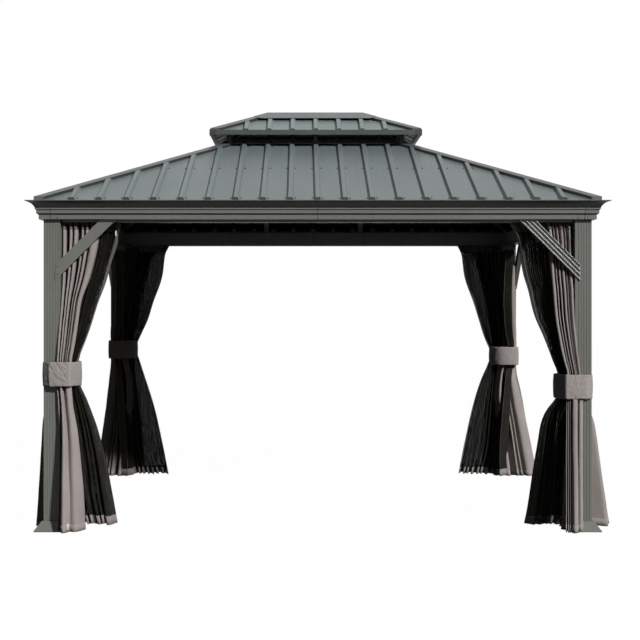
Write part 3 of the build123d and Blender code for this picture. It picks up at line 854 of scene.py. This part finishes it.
class Cloth:
    """A hanging sheet worked out as a grid of points, with its normals."""

    def __init__(self, corner, side_type, rows, profiles, columns, levels, hem, flat, seed, band, wrinkle):
        self.corner = corner
        self.side_type = side_type
        self.columns = columns
        self.levels = levels
        self.flat = flat
        lines = [(z, fold_line(folds, columns)) for z, folds in profiles]
        keys = [(z, flatten(points) + list(depths)) for z, points, depths in rows]
        grid = []
        for level in range(levels):
            down = level / (levels - 1)
            place = CLOTH_TOP + (rows[-1][0] - CLOTH_TOP) * down
            line = self.blended(lines, place)
            values = gentle(keys, place)
            depth_start, depth_end = values[-2:]
            crest = curve_through(list(zip(values[:-2:2], values[1:-2:2])), 60)
            row = []
            for column, (x, inward) in enumerate(line):
                a, b = self.placed(crest, x, inward, depth_start + (depth_end - depth_start) * x)
                along = column / (columns - 1)
                z = CLOTH_TOP + (HEM_LEVEL + hem(along) - CLOTH_TOP) * down
                row.append([*self.creased(a, b, z, along * flat[0], seed, band, wrinkle), z])
            grid.append(row)
        self.grid = softened(grid, 2)
        for row in self.grid:
            for point in row:
                point[0], point[1] = clear_of_post(*point, 0.003)

    @staticmethod
    def creased(a, b, z, across, seed, band, wrinkle):
        """A point pushed by small creases, deeper near the strap, and kept out of the post."""
        near_band = math.exp(-abs(z - band) / STRAP_PULL)
        swell = wrinkle * (0.35 + near_band)
        spot = Vector((across * 16.0, z * 7.0, seed * 3.1))
        push = noise.noise(spot) + 0.5 * noise.noise(spot * 2.3)
        slant = noise.noise(Vector((across * 9.0 + z * 14.0, z * 16.0, seed * 1.7)))
        b -= swell * push
        b -= wrinkle * 0.9 * near_band * slant
        a += 0.4 * swell * slant
        return clear_of_post(a, b, z)

    @staticmethod
    def blended(lines, place):
        """The fold line at a level, mixed from the two nearest ones."""
        if place >= lines[0][0]:
            return lines[0][1]
        for (z0, first), (z1, second) in zip(lines, lines[1:]):
            if place >= z1:
                part = ease((z0 - place) / (z0 - z1))
                return [(a + (c - a) * part, b + (d - b) * part) for (a, b), (c, d) in zip(first, second)]
        return lines[-1][1]

    @staticmethod
    def placed(crest, x, inward, depth):
        """A point at a distance along the crest line and a depth behind it."""
        spot = clamp(x) * (len(crest) - 1)
        index = min(int(spot), len(crest) - 2)
        part = spot - index
        p, q = crest[index], crest[index + 1]
        a = p[0] + (q[0] - p[0]) * part
        b = p[1] + (q[1] - p[1]) * part
        before = crest[max(index - 4, 0)]
        after = crest[min(index + 5, len(crest) - 1)]
        da, db = after[0] - before[0], after[1] - before[1]
        length = max(math.hypot(da, db), 1e-9)
        return a - db / length * inward * depth, b + da / length * inward * depth

    def world(self, point):
        """A grid point in the gazebo's frame."""
        return corner_to_world(self.corner, self.side_type, *point)

    def normal(self, level, column):
        """The grid's normal at a point, in local coordinates."""
        left = self.grid[level][max(column - 1, 0)]
        right = self.grid[level][min(column + 1, self.columns - 1)]
        above = self.grid[max(level - 1, 0)][column]
        below = self.grid[min(level + 1, self.levels - 1)][column]
        across = Vector(right) - Vector(left)
        down = Vector(below) - Vector(above)
        result = across.cross(down)
        if result.length < 1e-12:
            return Vector((0.0, -1.0, 0.0))
        return result.normalized()

    def surface(self, name, material):
        """The sheet itself."""
        points = [self.world(point) for row in self.grid for point in row]
        uvs = [self.uv(level, column) for level in range(self.levels) for column in range(self.columns)]
        return make_piece(name, points, grid_faces(self.levels, self.columns), material, uvs)

    def uv(self, level, column):
        """A grid point's place on the flat cloth."""
        across = self.flat[0] * column / (self.columns - 1)
        return (across, self.flat[1] * (1.0 - level / (self.levels - 1)))

    def strip(self, name, levels, columns, material):
        """A flat tape sewn on the sheet over a range of its grid."""
        front, back, uvs = [], [], []
        cells_down = len(levels)
        cells_across = len(columns)
        for level in levels:
            for column in columns:
                point = Vector(self.grid[level][column])
                out = self.normal(level, column) * TAPE_THICKNESS
                front.append(self.world(point + out))
                back.append(self.world(point - out))
                uvs.append(self.uv(level, column))
        total = len(front)
        faces = []
        for face in grid_faces(cells_down, cells_across):
            faces.append(face)
            faces.append(tuple(total + index for index in reversed(face)))
        rim = list(range(cells_across))
        rim += [row * cells_across + cells_across - 1 for row in range(1, cells_down)]
        rim += [(cells_down - 1) * cells_across + column for column in range(cells_across - 2, -1, -1)]
        rim += [row * cells_across for row in range(cells_down - 2, 0, -1)]
        for first, second in zip(rim, rim[1:] + rim[:1]):
            faces.append((second, first, total + first, total + second))
        return make_piece(name, front + back, faces, material, uvs + uvs)


def flatten(points):
    """Pairs laid out in one list."""
    return [value for point in points for value in point]


def grid_faces(levels, columns):
    """The quads of a grid of points."""
    faces = []
    for level in range(levels - 1):
        for column in range(columns - 1):
            first = level * columns + column
            faces.append((first, first + 1, first + columns + 1, first + columns))
    return faces


def softened(grid, rounds):
    """A grid whose inner points are eased toward their neighbours."""
    levels, columns = len(grid), len(grid[0])
    for _ in range(rounds):
        fresh = [[list(point) for point in row] for row in grid]
        for level in range(1, levels - 1):
            for column in range(1, columns - 1):
                for axis in range(3):
                    around = (
                        grid[level - 1][column][axis]
                        + grid[level + 1][column][axis]
                        + 0.5 * grid[level][column - 1][axis]
                        + 0.5 * grid[level][column + 1][axis]
                    ) / 3.0
                    fresh[level][column][axis] += 0.35 * (around - fresh[level][column][axis])
        grid = fresh
    return grid


# What each corner's cloth does. A drape is a list of levels. Each gives its height in metres, then,
# in millimetres, the crest line's plan points from the post's side to the free edge, and last the
# depths of the folds at the two ends. A plan point is the distances along and in from the corner.

TIE_LEVELS = {"front_left": 0.990, "front_right": 0.911, "back_left": 1.069, "back_right": 1.014}
TIE_HEIGHT = 0.152
FLARES = {"front_left": 70, "front_right": 165, "back_left": 90, "back_right": 150}


def at(level, *pairs):
    """One level of a drape, in metres."""
    metres = [(first / 1000.0, second / 1000.0) for first, second in pairs]
    return (level, metres[:-1], metres[-1])


def band_edges(tie):
    """The levels of a strap's upper and lower edges."""
    return tie + TIE_HEIGHT / 2.0, tie - TIE_HEIGHT / 2.0


def broad_curtain_rows(tie):
    """A long curtain that spreads wide at the rail, as at the front left."""
    top, low = band_edges(tie)
    return [
        at(CLOTH_TOP, (108, 30), (215, 30), (350, 32), (100, 122)),
        at(1.85, (110, 29), (213, 28), (344, 30), (100, 122)),
        at(1.69, (110, 28), (200, 26), (313, 30), (100, 118)),
        at(1.58, (110, 20), (190, 18), (284, 26), (98, 116)),
        at(1.44, (108, -4), (170, -6), (242, 16), (100, 118)),
        at(1.28, (95, -14), (155, -22), (222, 4), (96, 114)),
        at(top + 0.09, (89, -24), (145, -34), (204, -6), (86, 104)),
        at(top, (85, -30), (130, -40), (189, -22), (76, 98)),
        at(tie, (80, -28), (125, -38), (188, -20), (76, 98)),
        at(low, (82, -32), (130, -44), (195, -20), (80, 104)),
        at(low - 0.10, (89, -42), (145, -56), (203, -14), (92, 116)),
        at(0.62, (94, -46), (160, -84), (242, -20), (104, 134)),
        at(0.42, (91, -48), (168, -114), (268, -16), (114, 146)),
        at(0.22, (86, -50), (176, -144), (288, -4), (124, 152)),
        at(0.0, (84, -78), (182, -176), (297, 10), (134, 158)),
    ]


def narrow_curtain_rows(tie):
    """A long curtain that hangs close to its post and in front of it, as at the front right."""
    top, low = band_edges(tie)
    return [
        at(CLOTH_TOP, (126, 30), (190, 30), (282, 34), (105, 125)),
        at(1.85, (114, 29), (180, 28), (268, 32), (105, 125)),
        at(1.73, (112, 26), (176, 24), (262, 30), (105, 120)),
        at(1.606, (114, 12), (174, 10), (257, 24), (100, 115)),
        at(1.525, (110, -2), (168, -4), (252, 16), (100, 115)),
        at(1.364, (106, -12), (162, -18), (242, 4), (95, 110)),
        at(1.203, (94, -22), (148, -30), (218, -6), (85, 105)),
        at(top + 0.06, (80, -30), (130, -40), (184, -18), (72, 95)),
        at(top, (72, -32), (118, -42), (168, -26), (64, 90)),
        at(tie, (62, -32), (112, -40), (168, -28), (62, 90)),
        at(low, (54, -38), (108, -52), (172, -36), (70, 104)),
        at(0.662, (56, -54), (116, -78), (182, -62), (100, 142)),
        at(0.514, (57, -66), (121, -98), (188, -86), (114, 158)),
        at(0.345, (58, -80), (126, -121), (193, -112), (126, 174)),
        at(0.107, (59, -98), (132, -147), (200, -140), (138, 186)),
        at(0.0, (60, -104), (136, -157), (203, -150), (146, 192)),
    ]


def side_curtain_rows(tie, flare, wrap):
    """A short-side curtain that flares out past its face and may wrap round in front."""
    top, low = band_edges(tie)
    rows = [
        at(CLOTH_TOP, (108, 30), (200, 30), (300, 34), (85, 105)),
        at(1.69, (110, 26), (185, 24), (270, 30), (85, 100)),
        at(1.44, (110, 16), (165, 14), (235, 24), (85, 100)),
        at(1.28, (110, 10), (155, 8), (215, 20), (80, 100)),
        at(top + 0.09, (110, 6), (148, 4), (202, 16), (70, 90)),
        at(top, (110, 4), (140, 3), (194, 14), (60, 85)),
        at(tie, (110, 4), (136, 3), (194, 14), (60, 85)),
        at(low, (108, 3), (140, 2), (198, 10 + 100 * wrap), (66, 95)),
    ]
    for level in (0.66, 0.45, 0.24, 0.0):
        drop = 1.0 - level / 0.95
        out = -10.0 - (flare - 6.0) * drop
        start = (86.0 - 12.0 * drop, 0.86 * out)
        middle = (130.0 + 50.0 * drop + 70.0 * wrap * drop, out)
        edge = (200.0 + 150.0 * drop, (1.0 - wrap) * 0.6 * out + wrap * (185.0 - 75.0 * drop))
        rows.append(at(level, start, middle, edge, (100.0 + 80.0 * drop, 110.0 + 50.0 * drop)))
    return rows


def broad_netting_rows(tie):
    """A long netting, as at the front left."""
    top, low = band_edges(tie)
    return [
        at(CLOTH_TOP, (290, 85), (370, 78), (425, 74), (473, 76), (75, 75)),
        at(1.85, (280, 85), (355, 78), (408, 74), (457, 76), (75, 75)),
        at(1.69, (255, 85), (322, 78), (366, 74), (410, 78), (75, 75)),
        at(1.58, (235, 82), (300, 76), (340, 74), (381, 78), (72, 75)),
        at(1.44, (205, 78), (262, 68), (300, 66), (338, 74), (70, 74)),
        at(1.28, (175, 74), (225, 56), (258, 54), (291, 62), (66, 70)),
        at(top + 0.09, (150, 70), (192, 44), (220, 42), (247, 48), (60, 64)),
        at(top, (130, 62), (165, 40), (190, 30), (212, 30), (52, 58)),
        at(tie, (125, 60), (160, 40), (186, 30), (206, 30), (50, 56)),
        at(low, (112, 50), (160, 40), (190, 32), (216, 32), (52, 58)),
        at(low - 0.10, (110, 60), (165, 60), (205, 52), (244, 46), (58, 66)),
        at(0.62, (112, 70), (175, 90), (235, 78), (298, 62), (66, 85)),
        at(0.42, (112, 80), (185, 108), (262, 96), (340, 74), (70, 100)),
        at(0.22, (114, 90), (195, 122), (285, 110), (370, 84), (75, 110)),
        at(0.0, (182, 95), (235, 132), (315, 122), (400, 90), (75, 115)),
    ]


def tucked_netting_rows(tie):
    """A short-side netting at the back, kept close to its post inside the wrapped curtain."""
    rows = []
    for level, points, deep in broad_netting_rows(tie):
        reach = 1.0 if level > tie else 0.62
        rows.append((level, tuple((0.112 + (a - 0.112) * reach, b) for a, b in points), deep))
    return rows


def swung_netting_rows(tie):
    """A long netting that swings out quickly under its strap, as at the front right."""
    top, low = band_edges(tie)
    return [
        at(CLOTH_TOP, (250, 88), (345, 80), (425, 76), (500, 80), (75, 78)),
        at(1.85, (235, 88), (310, 80), (378, 76), (442, 80), (75, 78)),
        at(1.728, (230, 86), (305, 80), (368, 76), (429, 80), (74, 76)),
        at(1.606, (220, 84), (290, 78), (350, 74), (407, 78), (72, 75)),
        at(1.525, (210, 80), (276, 74), (330, 72), (382, 76), (70, 74)),
        at(1.364, (190, 76), (250, 66), (302, 64), (349, 70), (68, 72)),
        at(1.203, (160, 70), (208, 56), (246, 54), (282, 58), (62, 66)),
        at(top + 0.08, (140, 64), (178, 46), (210, 40), (238, 44), (56, 60)),
        at(top, (125, 58), (160, 40), (186, 32), (208, 34), (52, 56)),
        at(tie, (120, 56), (152, 38), (178, 30), (200, 34), (50, 54)),
        at(low, (112, 54), (150, 44), (176, 38), (204, 38), (54, 60)),
        at(0.74, (112, 62), (165, 62), (212, 58), (256, 54), (62, 74)),
        at(0.662, (112, 68), (170, 74), (226, 68), (278, 58), (68, 82)),
        at(0.514, (112, 74), (175, 88), (234, 82), (292, 66), (72, 92)),
        at(0.345, (114, 82), (180, 102), (244, 96), (305, 72), (76, 102)),
        at(0.107, (130, 92), (200, 118), (266, 110), (330, 82), (80, 112)),
        at(0.0, (182, 95), (230, 128), (285, 118), (341, 88), (80, 116)),
    ]


def back_netting_rows(tie):
    """A long netting at the back, spread wide at the rail and at the hem."""
    top, low = band_edges(tie)
    return [
        at(CLOTH_TOP, (230, 88), (340, 80), (430, 76), (510, 80), (75, 78)),
        at(1.88, (225, 88), (325, 80), (405, 76), (475, 80), (75, 78)),
        at(1.70, (215, 86), (300, 80), (378, 76), (452, 80), (74, 76)),
        at(1.45, (185, 78), (250, 70), (308, 68), (364, 72), (70, 74)),
        at(1.32, (165, 72), (220, 60), (270, 58), (322, 60), (66, 70)),
        at(top + 0.05, (140, 64), (178, 46), (220, 40), (262, 44), (56, 62)),
        at(top, (130, 58), (165, 40), (200, 32), (238, 36), (52, 56)),
        at(tie, (125, 56), (155, 38), (184, 30), (212, 36), (50, 54)),
        at(low, (112, 54), (155, 44), (196, 38), (236, 40), (54, 60)),
        at(0.80, (112, 62), (180, 62), (240, 58), (296, 54), (62, 74)),
        at(0.55, (112, 74), (200, 88), (284, 82), (364, 66), (72, 92)),
        at(0.28, (114, 82), (215, 104), (320, 98), (420, 74), (76, 104)),
        at(0.0, (182, 95), (270, 128), (370, 118), (470, 88), (80, 116)),
    ]


NETTING_DRAPES = {
    "front_left": broad_netting_rows,
    "front_right": swung_netting_rows,
    "back_left": back_netting_rows,
    "back_right": back_netting_rows,
}


def fold(crest, side, valley, lean, flatness=1.2):
    """One fold: its crest, side and valley in millimetres, its lean in degrees and its crest's flatness."""
    return (crest / 1000.0, side / 1000.0, valley / 1000.0, lean, flatness)


BROAD_UPPER = [
    fold(36, 74, 12, 87, 1.8),
    fold(10, 36, 10, 88),
    fold(30, 76, 10, 88, 1.6),
    fold(40, 74, 12, 86, 2.0),
    fold(10, 36, 12, 88),
    fold(22, 74, 12, 87, 1.2),
    fold(34, 72, 14, 86, 1.6),
    fold(80, 70, 10, 87, 2.8),
]
BROAD_LOWER = [
    fold(20, 100, 52, 85, 1.2),
    fold(46, 110, 12, 87, 1.8),
    fold(10, 56, 12, 88),
    fold(10, 52, 12, 88),
    fold(10, 56, 12, 88),
    fold(125, 100, 10, 87, 3.0),
    fold(12, 70, 8, 89),
]
NARROW_UPPER = [
    fold(36, 84, 14, 86, 1.8),
    fold(14, 80, 14, 88),
    fold(32, 84, 10, 87, 1.8),
    fold(22, 80, 16, 87, 1.5),
    fold(14, 82, 10, 88),
    fold(38, 84, 10, 87, 2.0),
]
NARROW_LOWER = [
    fold(72, 104, 34, 86, 2.4),
    fold(100, 112, 16, 86, 2.8),
    fold(12, 110, 12, 88),
    fold(12, 110, 10, 88),
    fold(12, 110, 10, 88),
]
WRAPPED_LOWER = [
    fold(34, 80, 12, 87),
    fold(34, 80, 12, 87),
    fold(32, 80, 14, 86),
    fold(120, 90, 16, 86, 3.0),
    fold(16, 86, 12, 87),
    fold(20, 86, 44, 85),
    fold(36, 76, 8, 86, 1.6),
]


def even_hem(amount, seed):
    """A hem that rises and falls a little."""
    def height(along):
        return amount * (0.5 + 0.5 * noise.noise(Vector((along * 9.0, seed * 2.7, 0.3))))
    return height


# The width and height of a cloth laid flat, in metres.
CURTAIN_FLAT = {"long": (1.63, 1.94), "short": (1.27, 1.94)}


def sewn_tapes(cloth, base, hem_finish, borders):
    """The hem and header of a gathered sheet, and the tapes along its free edge."""
    every = range(cloth.columns)
    parts = [
        cloth.strip(base + "_hem", range(cloth.levels - 3, cloth.levels), every, hem_finish),
        cloth.strip(base + "_header", range(0, 3), every, TAPE_FINISH),
    ]
    for name, levels, width, finish in borders:
        edge = range(cloth.columns - width, cloth.columns)
        parts.append(cloth.strip(base + name, levels, edge, finish))
    return parts


def make_curtain(corner, side_type, rows, profiles, seed, hem, columns=170, levels=84):
    """One gathered curtain with its tapes."""
    flat = CURTAIN_FLAT[side_type]
    tie = TIE_LEVELS[corner]
    cloth = Cloth(corner, side_type, rows, profiles, columns, levels, hem, flat, seed, tie, 0.0045)
    base = f"curtain_{corner}_{side_type}"
    sheet = cloth.surface(base, CURTAIN_FINISH)
    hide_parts(f"curtains_{corner}")
    borders = [("_edge_tape", range(2, levels - 2), 4, CURTAIN_FINISH)]
    parts = sewn_tapes(cloth, base, CURTAIN_FINISH, borders)
    return cloth


def make_netting(corner, side_type, rows, profiles, seed, hem, columns=150, levels=70):
    """One gathered insect net. At the front its cloth border is darkened below the strap as painted shade."""
    flat = CURTAIN_FLAT[side_type]
    tie = TIE_LEVELS[corner]
    cloth = Cloth(corner, side_type, rows, profiles, columns, levels, hem, flat, seed, tie, 0.004)
    base = f"netting_{corner}_{side_type}"
    sheet = cloth.surface(base, NET_FINISH)
    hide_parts(f"nettings_{corner}")
    at_front = corner.startswith("front")
    # Below the strap the front borders take a painted shade.
    low_finish = SHADED_BORDER_FINISH if at_front else BORDER_FINISH
    wide = 2 if side_type == "short" else 9 if at_front else 4
    middle = levels // 2
    borders = [
        ("_edge_tape", range(2, middle + 1), wide, BORDER_FINISH),
        ("_low_edge", range(middle, levels - 2), min(wide, 4), low_finish),
    ]
    parts = sewn_tapes(cloth, base, TAPE_FINISH, borders)
    return cloth


# The strap's plan round the post and its cloth, in millimetres along and in from the corner.
TIE_PLAN = [
    (-4, 60), (-4, 6), (2, -6), (41, -44), (48, -50), (108, -55), (166, -55), (173, -52), (180, -42),
    (216, 46), (222, 90), (196, 150), (150, 196), (90, 214), (20, 214), (2, 204), (-4, 180), (-4, 60),
]


def crumple_at(reach, up, seed):
    """How far the strap's cloth stands out at a distance round it and a share of its height."""
    spot = Vector((reach * 30.0 + up * 3.0, up * 3.5 - reach * 22.0, seed * 5.3))
    crumple = 0.0012 * noise.noise(spot) + 0.0005 * noise.noise(spot * 2.7)
    slant = Vector((reach * 34.0 - up * 5.0, up * 2.0 + reach * 6.0, seed * 2.9))
    crease = (1.0 - min(abs(noise.noise(slant)) * 5.0, 1.0)) ** 2
    return crumple - 0.0045 * crease * ease(reach / 0.08) * ease((0.30 - reach) / 0.10)


def make_tie_band(corner, seed, around=200, levels=22):
    """The wide strap round a post and its cloth."""
    line = curve_through([(a / 1000.0, b / 1000.0) for a, b in TIE_PLAN], around + 1)[:-1]
    total = sum(math.dist(p, q) for p, q in zip(line, line[1:] + line[:1]))
    points, uvs, faces = [], [], []
    for level in range(levels):
        up = level / (levels - 1)
        for index, (a, b) in enumerate(line):
            before, after = line[index - 1], line[(index + 1) % around]
            da, db = after[0] - before[0], after[1] - before[1]
            length = max(math.hypot(da, db), 1e-9)
            loose = ease(a / 0.05)
            reach = index * total / around
            push = 0.003 * math.sin(math.pi * up) + loose * crumple_at(reach, up, seed)
            sway = 0.002 * loose * noise.noise(Vector((index * 0.09, seed, up)))
            z = TIE_LEVELS[corner] + TIE_HEIGHT * (0.5 - up) + sway
            points.append(corner_to_world(corner, "long", a + db / length * push, b - da / length * push, z))
            uvs.append((total * index / around, TIE_HEIGHT * (1.0 - up)))
    for level in range(levels - 1):
        for index in range(around):
            first, second = level * around + index, level * around + (index + 1) % around
            faces.append((first, second, second + around, first + around))
    band = make_piece(f"tie_band_cloth_{corner}", points, faces, BAND_FINISH, uvs)
    thick = band.modifiers.new("cloth_thickness", "SOLIDIFY")
    thick.thickness = 0.002
    thick.offset = 0.0
    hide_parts(f"tie_band_{corner}")


# Half of a zip slider's size, and its tab's, in metres.
SLIDER_HALF = (0.0050, 0.0035, 0.006)
TAB_HALF = 0.0035
TAB_THICK = 0.0020
TAB_LENGTH = 0.028


def zip_pull(solids, cloth, along, z):
    """A small slider with its hanging tab, near a place on a cloth."""
    level = min(range(cloth.levels), key=lambda row: abs(cloth.grid[row][-1][2] - z))
    column = min(range(cloth.columns), key=lambda place: abs(cloth.grid[level][place][0] - along))
    spot = Vector(cloth.world(Vector(cloth.grid[level][column]) + Vector((0.0, -0.009, 0.0))))
    solids.cuboid(spot - Vector(SLIDER_HALF), spot + Vector(SLIDER_HALF))
    tab_back = spot + Vector((TAB_HALF, TAB_THICK - 0.0050, -0.002))
    solids.cuboid(tab_back - Vector((2.0 * TAB_HALF, TAB_THICK, TAB_LENGTH)), tab_back)


def profile(upper, lower, tie):
    """The folds of a cloth above its strap and below it, by level."""
    return [(CLOTH_TOP, upper), (tie + 0.06, upper), (tie - 0.06, lower), (0.0, lower)]


def hang_curtain(corner, side_type, seed, wrap):
    """The curtain of one side of a corner."""
    tie = TIE_LEVELS[corner]
    if side_type == "long" and corner == "front_right":
        upper, lower, rows = NARROW_UPPER, NARROW_LOWER, narrow_curtain_rows(tie)
    elif side_type == "long":
        upper, lower, rows = BROAD_UPPER, BROAD_LOWER, broad_curtain_rows(tie)
    else:
        upper = loose_folds(7, seed, 0.024, 0.050, 87.0)
        lower = WRAPPED_LOWER if wrap else loose_folds(5, seed + 1, 0.050, 0.075, 86.0)
        rows = side_curtain_rows(tie, FLARES[corner], wrap)
    return make_curtain(corner, side_type, rows, profile(upper, lower, tie), seed, even_hem(0.010, seed))


def hang_netting(corner, side_type, seed, wrap):
    """The insect net of one side of a corner."""
    tie = TIE_LEVELS[corner]
    count = 11
    drape = NETTING_DRAPES[corner]
    if side_type == "short":
        count = 9
        drape = tucked_netting_rows if wrap else broad_netting_rows
    upper = loose_folds(count, seed + 2, 0.020, 0.045, 90.0) + [fold(50, 45, 10, 86, 2.6)]
    lower = loose_folds(count - 3, seed + 3, 0.036, 0.060, 88.0) + [fold(50, 56, 10, 86, 2.2)]
    hem = even_hem(0.02, seed)
    return make_netting(corner, side_type, drape(tie), profile(upper, lower, tie), seed + 4, hem)


def dress_corner(corner, seed):
    """Both curtains, both nettings and the strap of a corner."""
    wrap = 1.0 if corner.startswith("back") else 0.0
    for side_type, extra in (("long", 0), ("short", 7)):
        curtain = hang_curtain(corner, side_type, seed + extra, wrap)
        netting = hang_netting(corner, side_type, seed + extra, wrap)
        if corner == "front_left" and side_type == "long":
            pulls = Solids()
            zip_pull(pulls, netting, 0.447, 1.888)
            zip_pull(pulls, curtain, 0.179, 0.062)
            pulls.piece("zip_pulls", PULL_FINISH)
    make_tie_band(corner, seed)


for corner_index, corner_name in enumerate(CORNERS):
    dress_corner(corner_name, 11 + 20 * corner_index)


# Camera, floor and lights.

SKY_LIGHT = 0.014
FLOOR_COLOUR = (0.04, 0.04, 0.04, 1.0)


def make_camera():
    """The camera that took the photograph."""
    data = bpy.data.cameras.new("photo_camera")
    data.sensor_width = SENSOR_MM
    data.lens = FOCAL_PIXELS / IMAGE_SIZE * SENSOR_MM
    data.shift_x = (IMAGE_SIZE / 2.0 - PRINCIPAL_X) / IMAGE_SIZE
    data.shift_y = (PRINCIPAL_Y - IMAGE_SIZE / 2.0) / IMAGE_SIZE
    data.clip_end = 200.0
    camera = bpy.data.objects.new("photo_camera", data)
    camera.location = CAMERA_PLACE
    camera.rotation_euler = (math.pi / 2.0, 0.0, 0.0)
    bpy.context.scene.collection.objects.link(camera)
    bpy.context.scene.camera = camera


def white_to_camera(tree):
    """One where a camera, glossy or transmission ray arrives, and nought elsewhere."""
    path = node(tree, "LightPath", {})
    rays = [Wire(tree, path.outputs[f"Is {kind} Ray"]) for kind in ("Camera", "Glossy", "Transmission")]
    return maths("MAXIMUM", maths("MAXIMUM", rays[0], rays[1]), rays[2])


def make_world():
    """A dim even sky that looks white."""
    world = bpy.data.worlds.new("pale_studio")
    bpy.context.scene.world = world
    world.use_nodes = True
    tree = world.node_tree
    tree.nodes.clear()
    strength = remap(white_to_camera(tree), 0.0, 1.0, SKY_LIGHT, 1.0)
    sky = wire(tree, "Background", {"Strength": strength, "Color": (1.0, 1.0, 1.0, 1.0)})
    node(tree, "OutputWorld", {"Surface": sky})


def make_floor():
    """A wide plain floor that looks nearly white and keeps the gazebo's shadow."""
    mesh = bmesh.new()
    bmesh.ops.create_grid(mesh, x_segments=2, y_segments=2, size=60.0)
    data = bpy.data.meshes.new("floor")
    mesh.to_mesh(data)
    mesh.free()
    floor = bpy.data.objects.new("floor", data)
    floor.location = (0.0, 0.0, -0.001)
    bpy.context.scene.collection.objects.link(floor)
    material, tree, shader, output = new_material("pale_floor")
    finished(shader, FLOOR_COLOUR, 0.9, 0.0)
    matt = Wire(tree, shader.outputs["BSDF"])
    glow = wire(tree, "Emission", {"Strength": 1.10})
    join(output, {"Surface": wire(tree, "MixShader", {0: white_to_camera(tree) * 0.9, 1: matt, 2: glow})})
    data.materials.append(material)


def sun_light(name, towards, strength, spread, glossy=True):
    """A far soft light seen in the given direction, its spread in degrees."""
    data = bpy.data.lights.new(name, "SUN")
    data.energy = strength
    data.angle = math.radians(spread)
    lamp = bpy.data.objects.new(name, data)
    lamp.rotation_euler = Vector(towards).to_track_quat("Z", "Y").to_euler()
    lamp.visible_glossy = glossy
    bpy.context.scene.collection.objects.link(lamp)


make_camera()
make_world()
make_floor()
sun_light("key", (0.530, -0.680, 0.515), 3.9, 4.0)
sun_light("rear", (-0.20, 0.85, 0.48), 0.6, 12.0, glossy=False)
bpy.context.scene.view_settings.view_transform = "Standard"
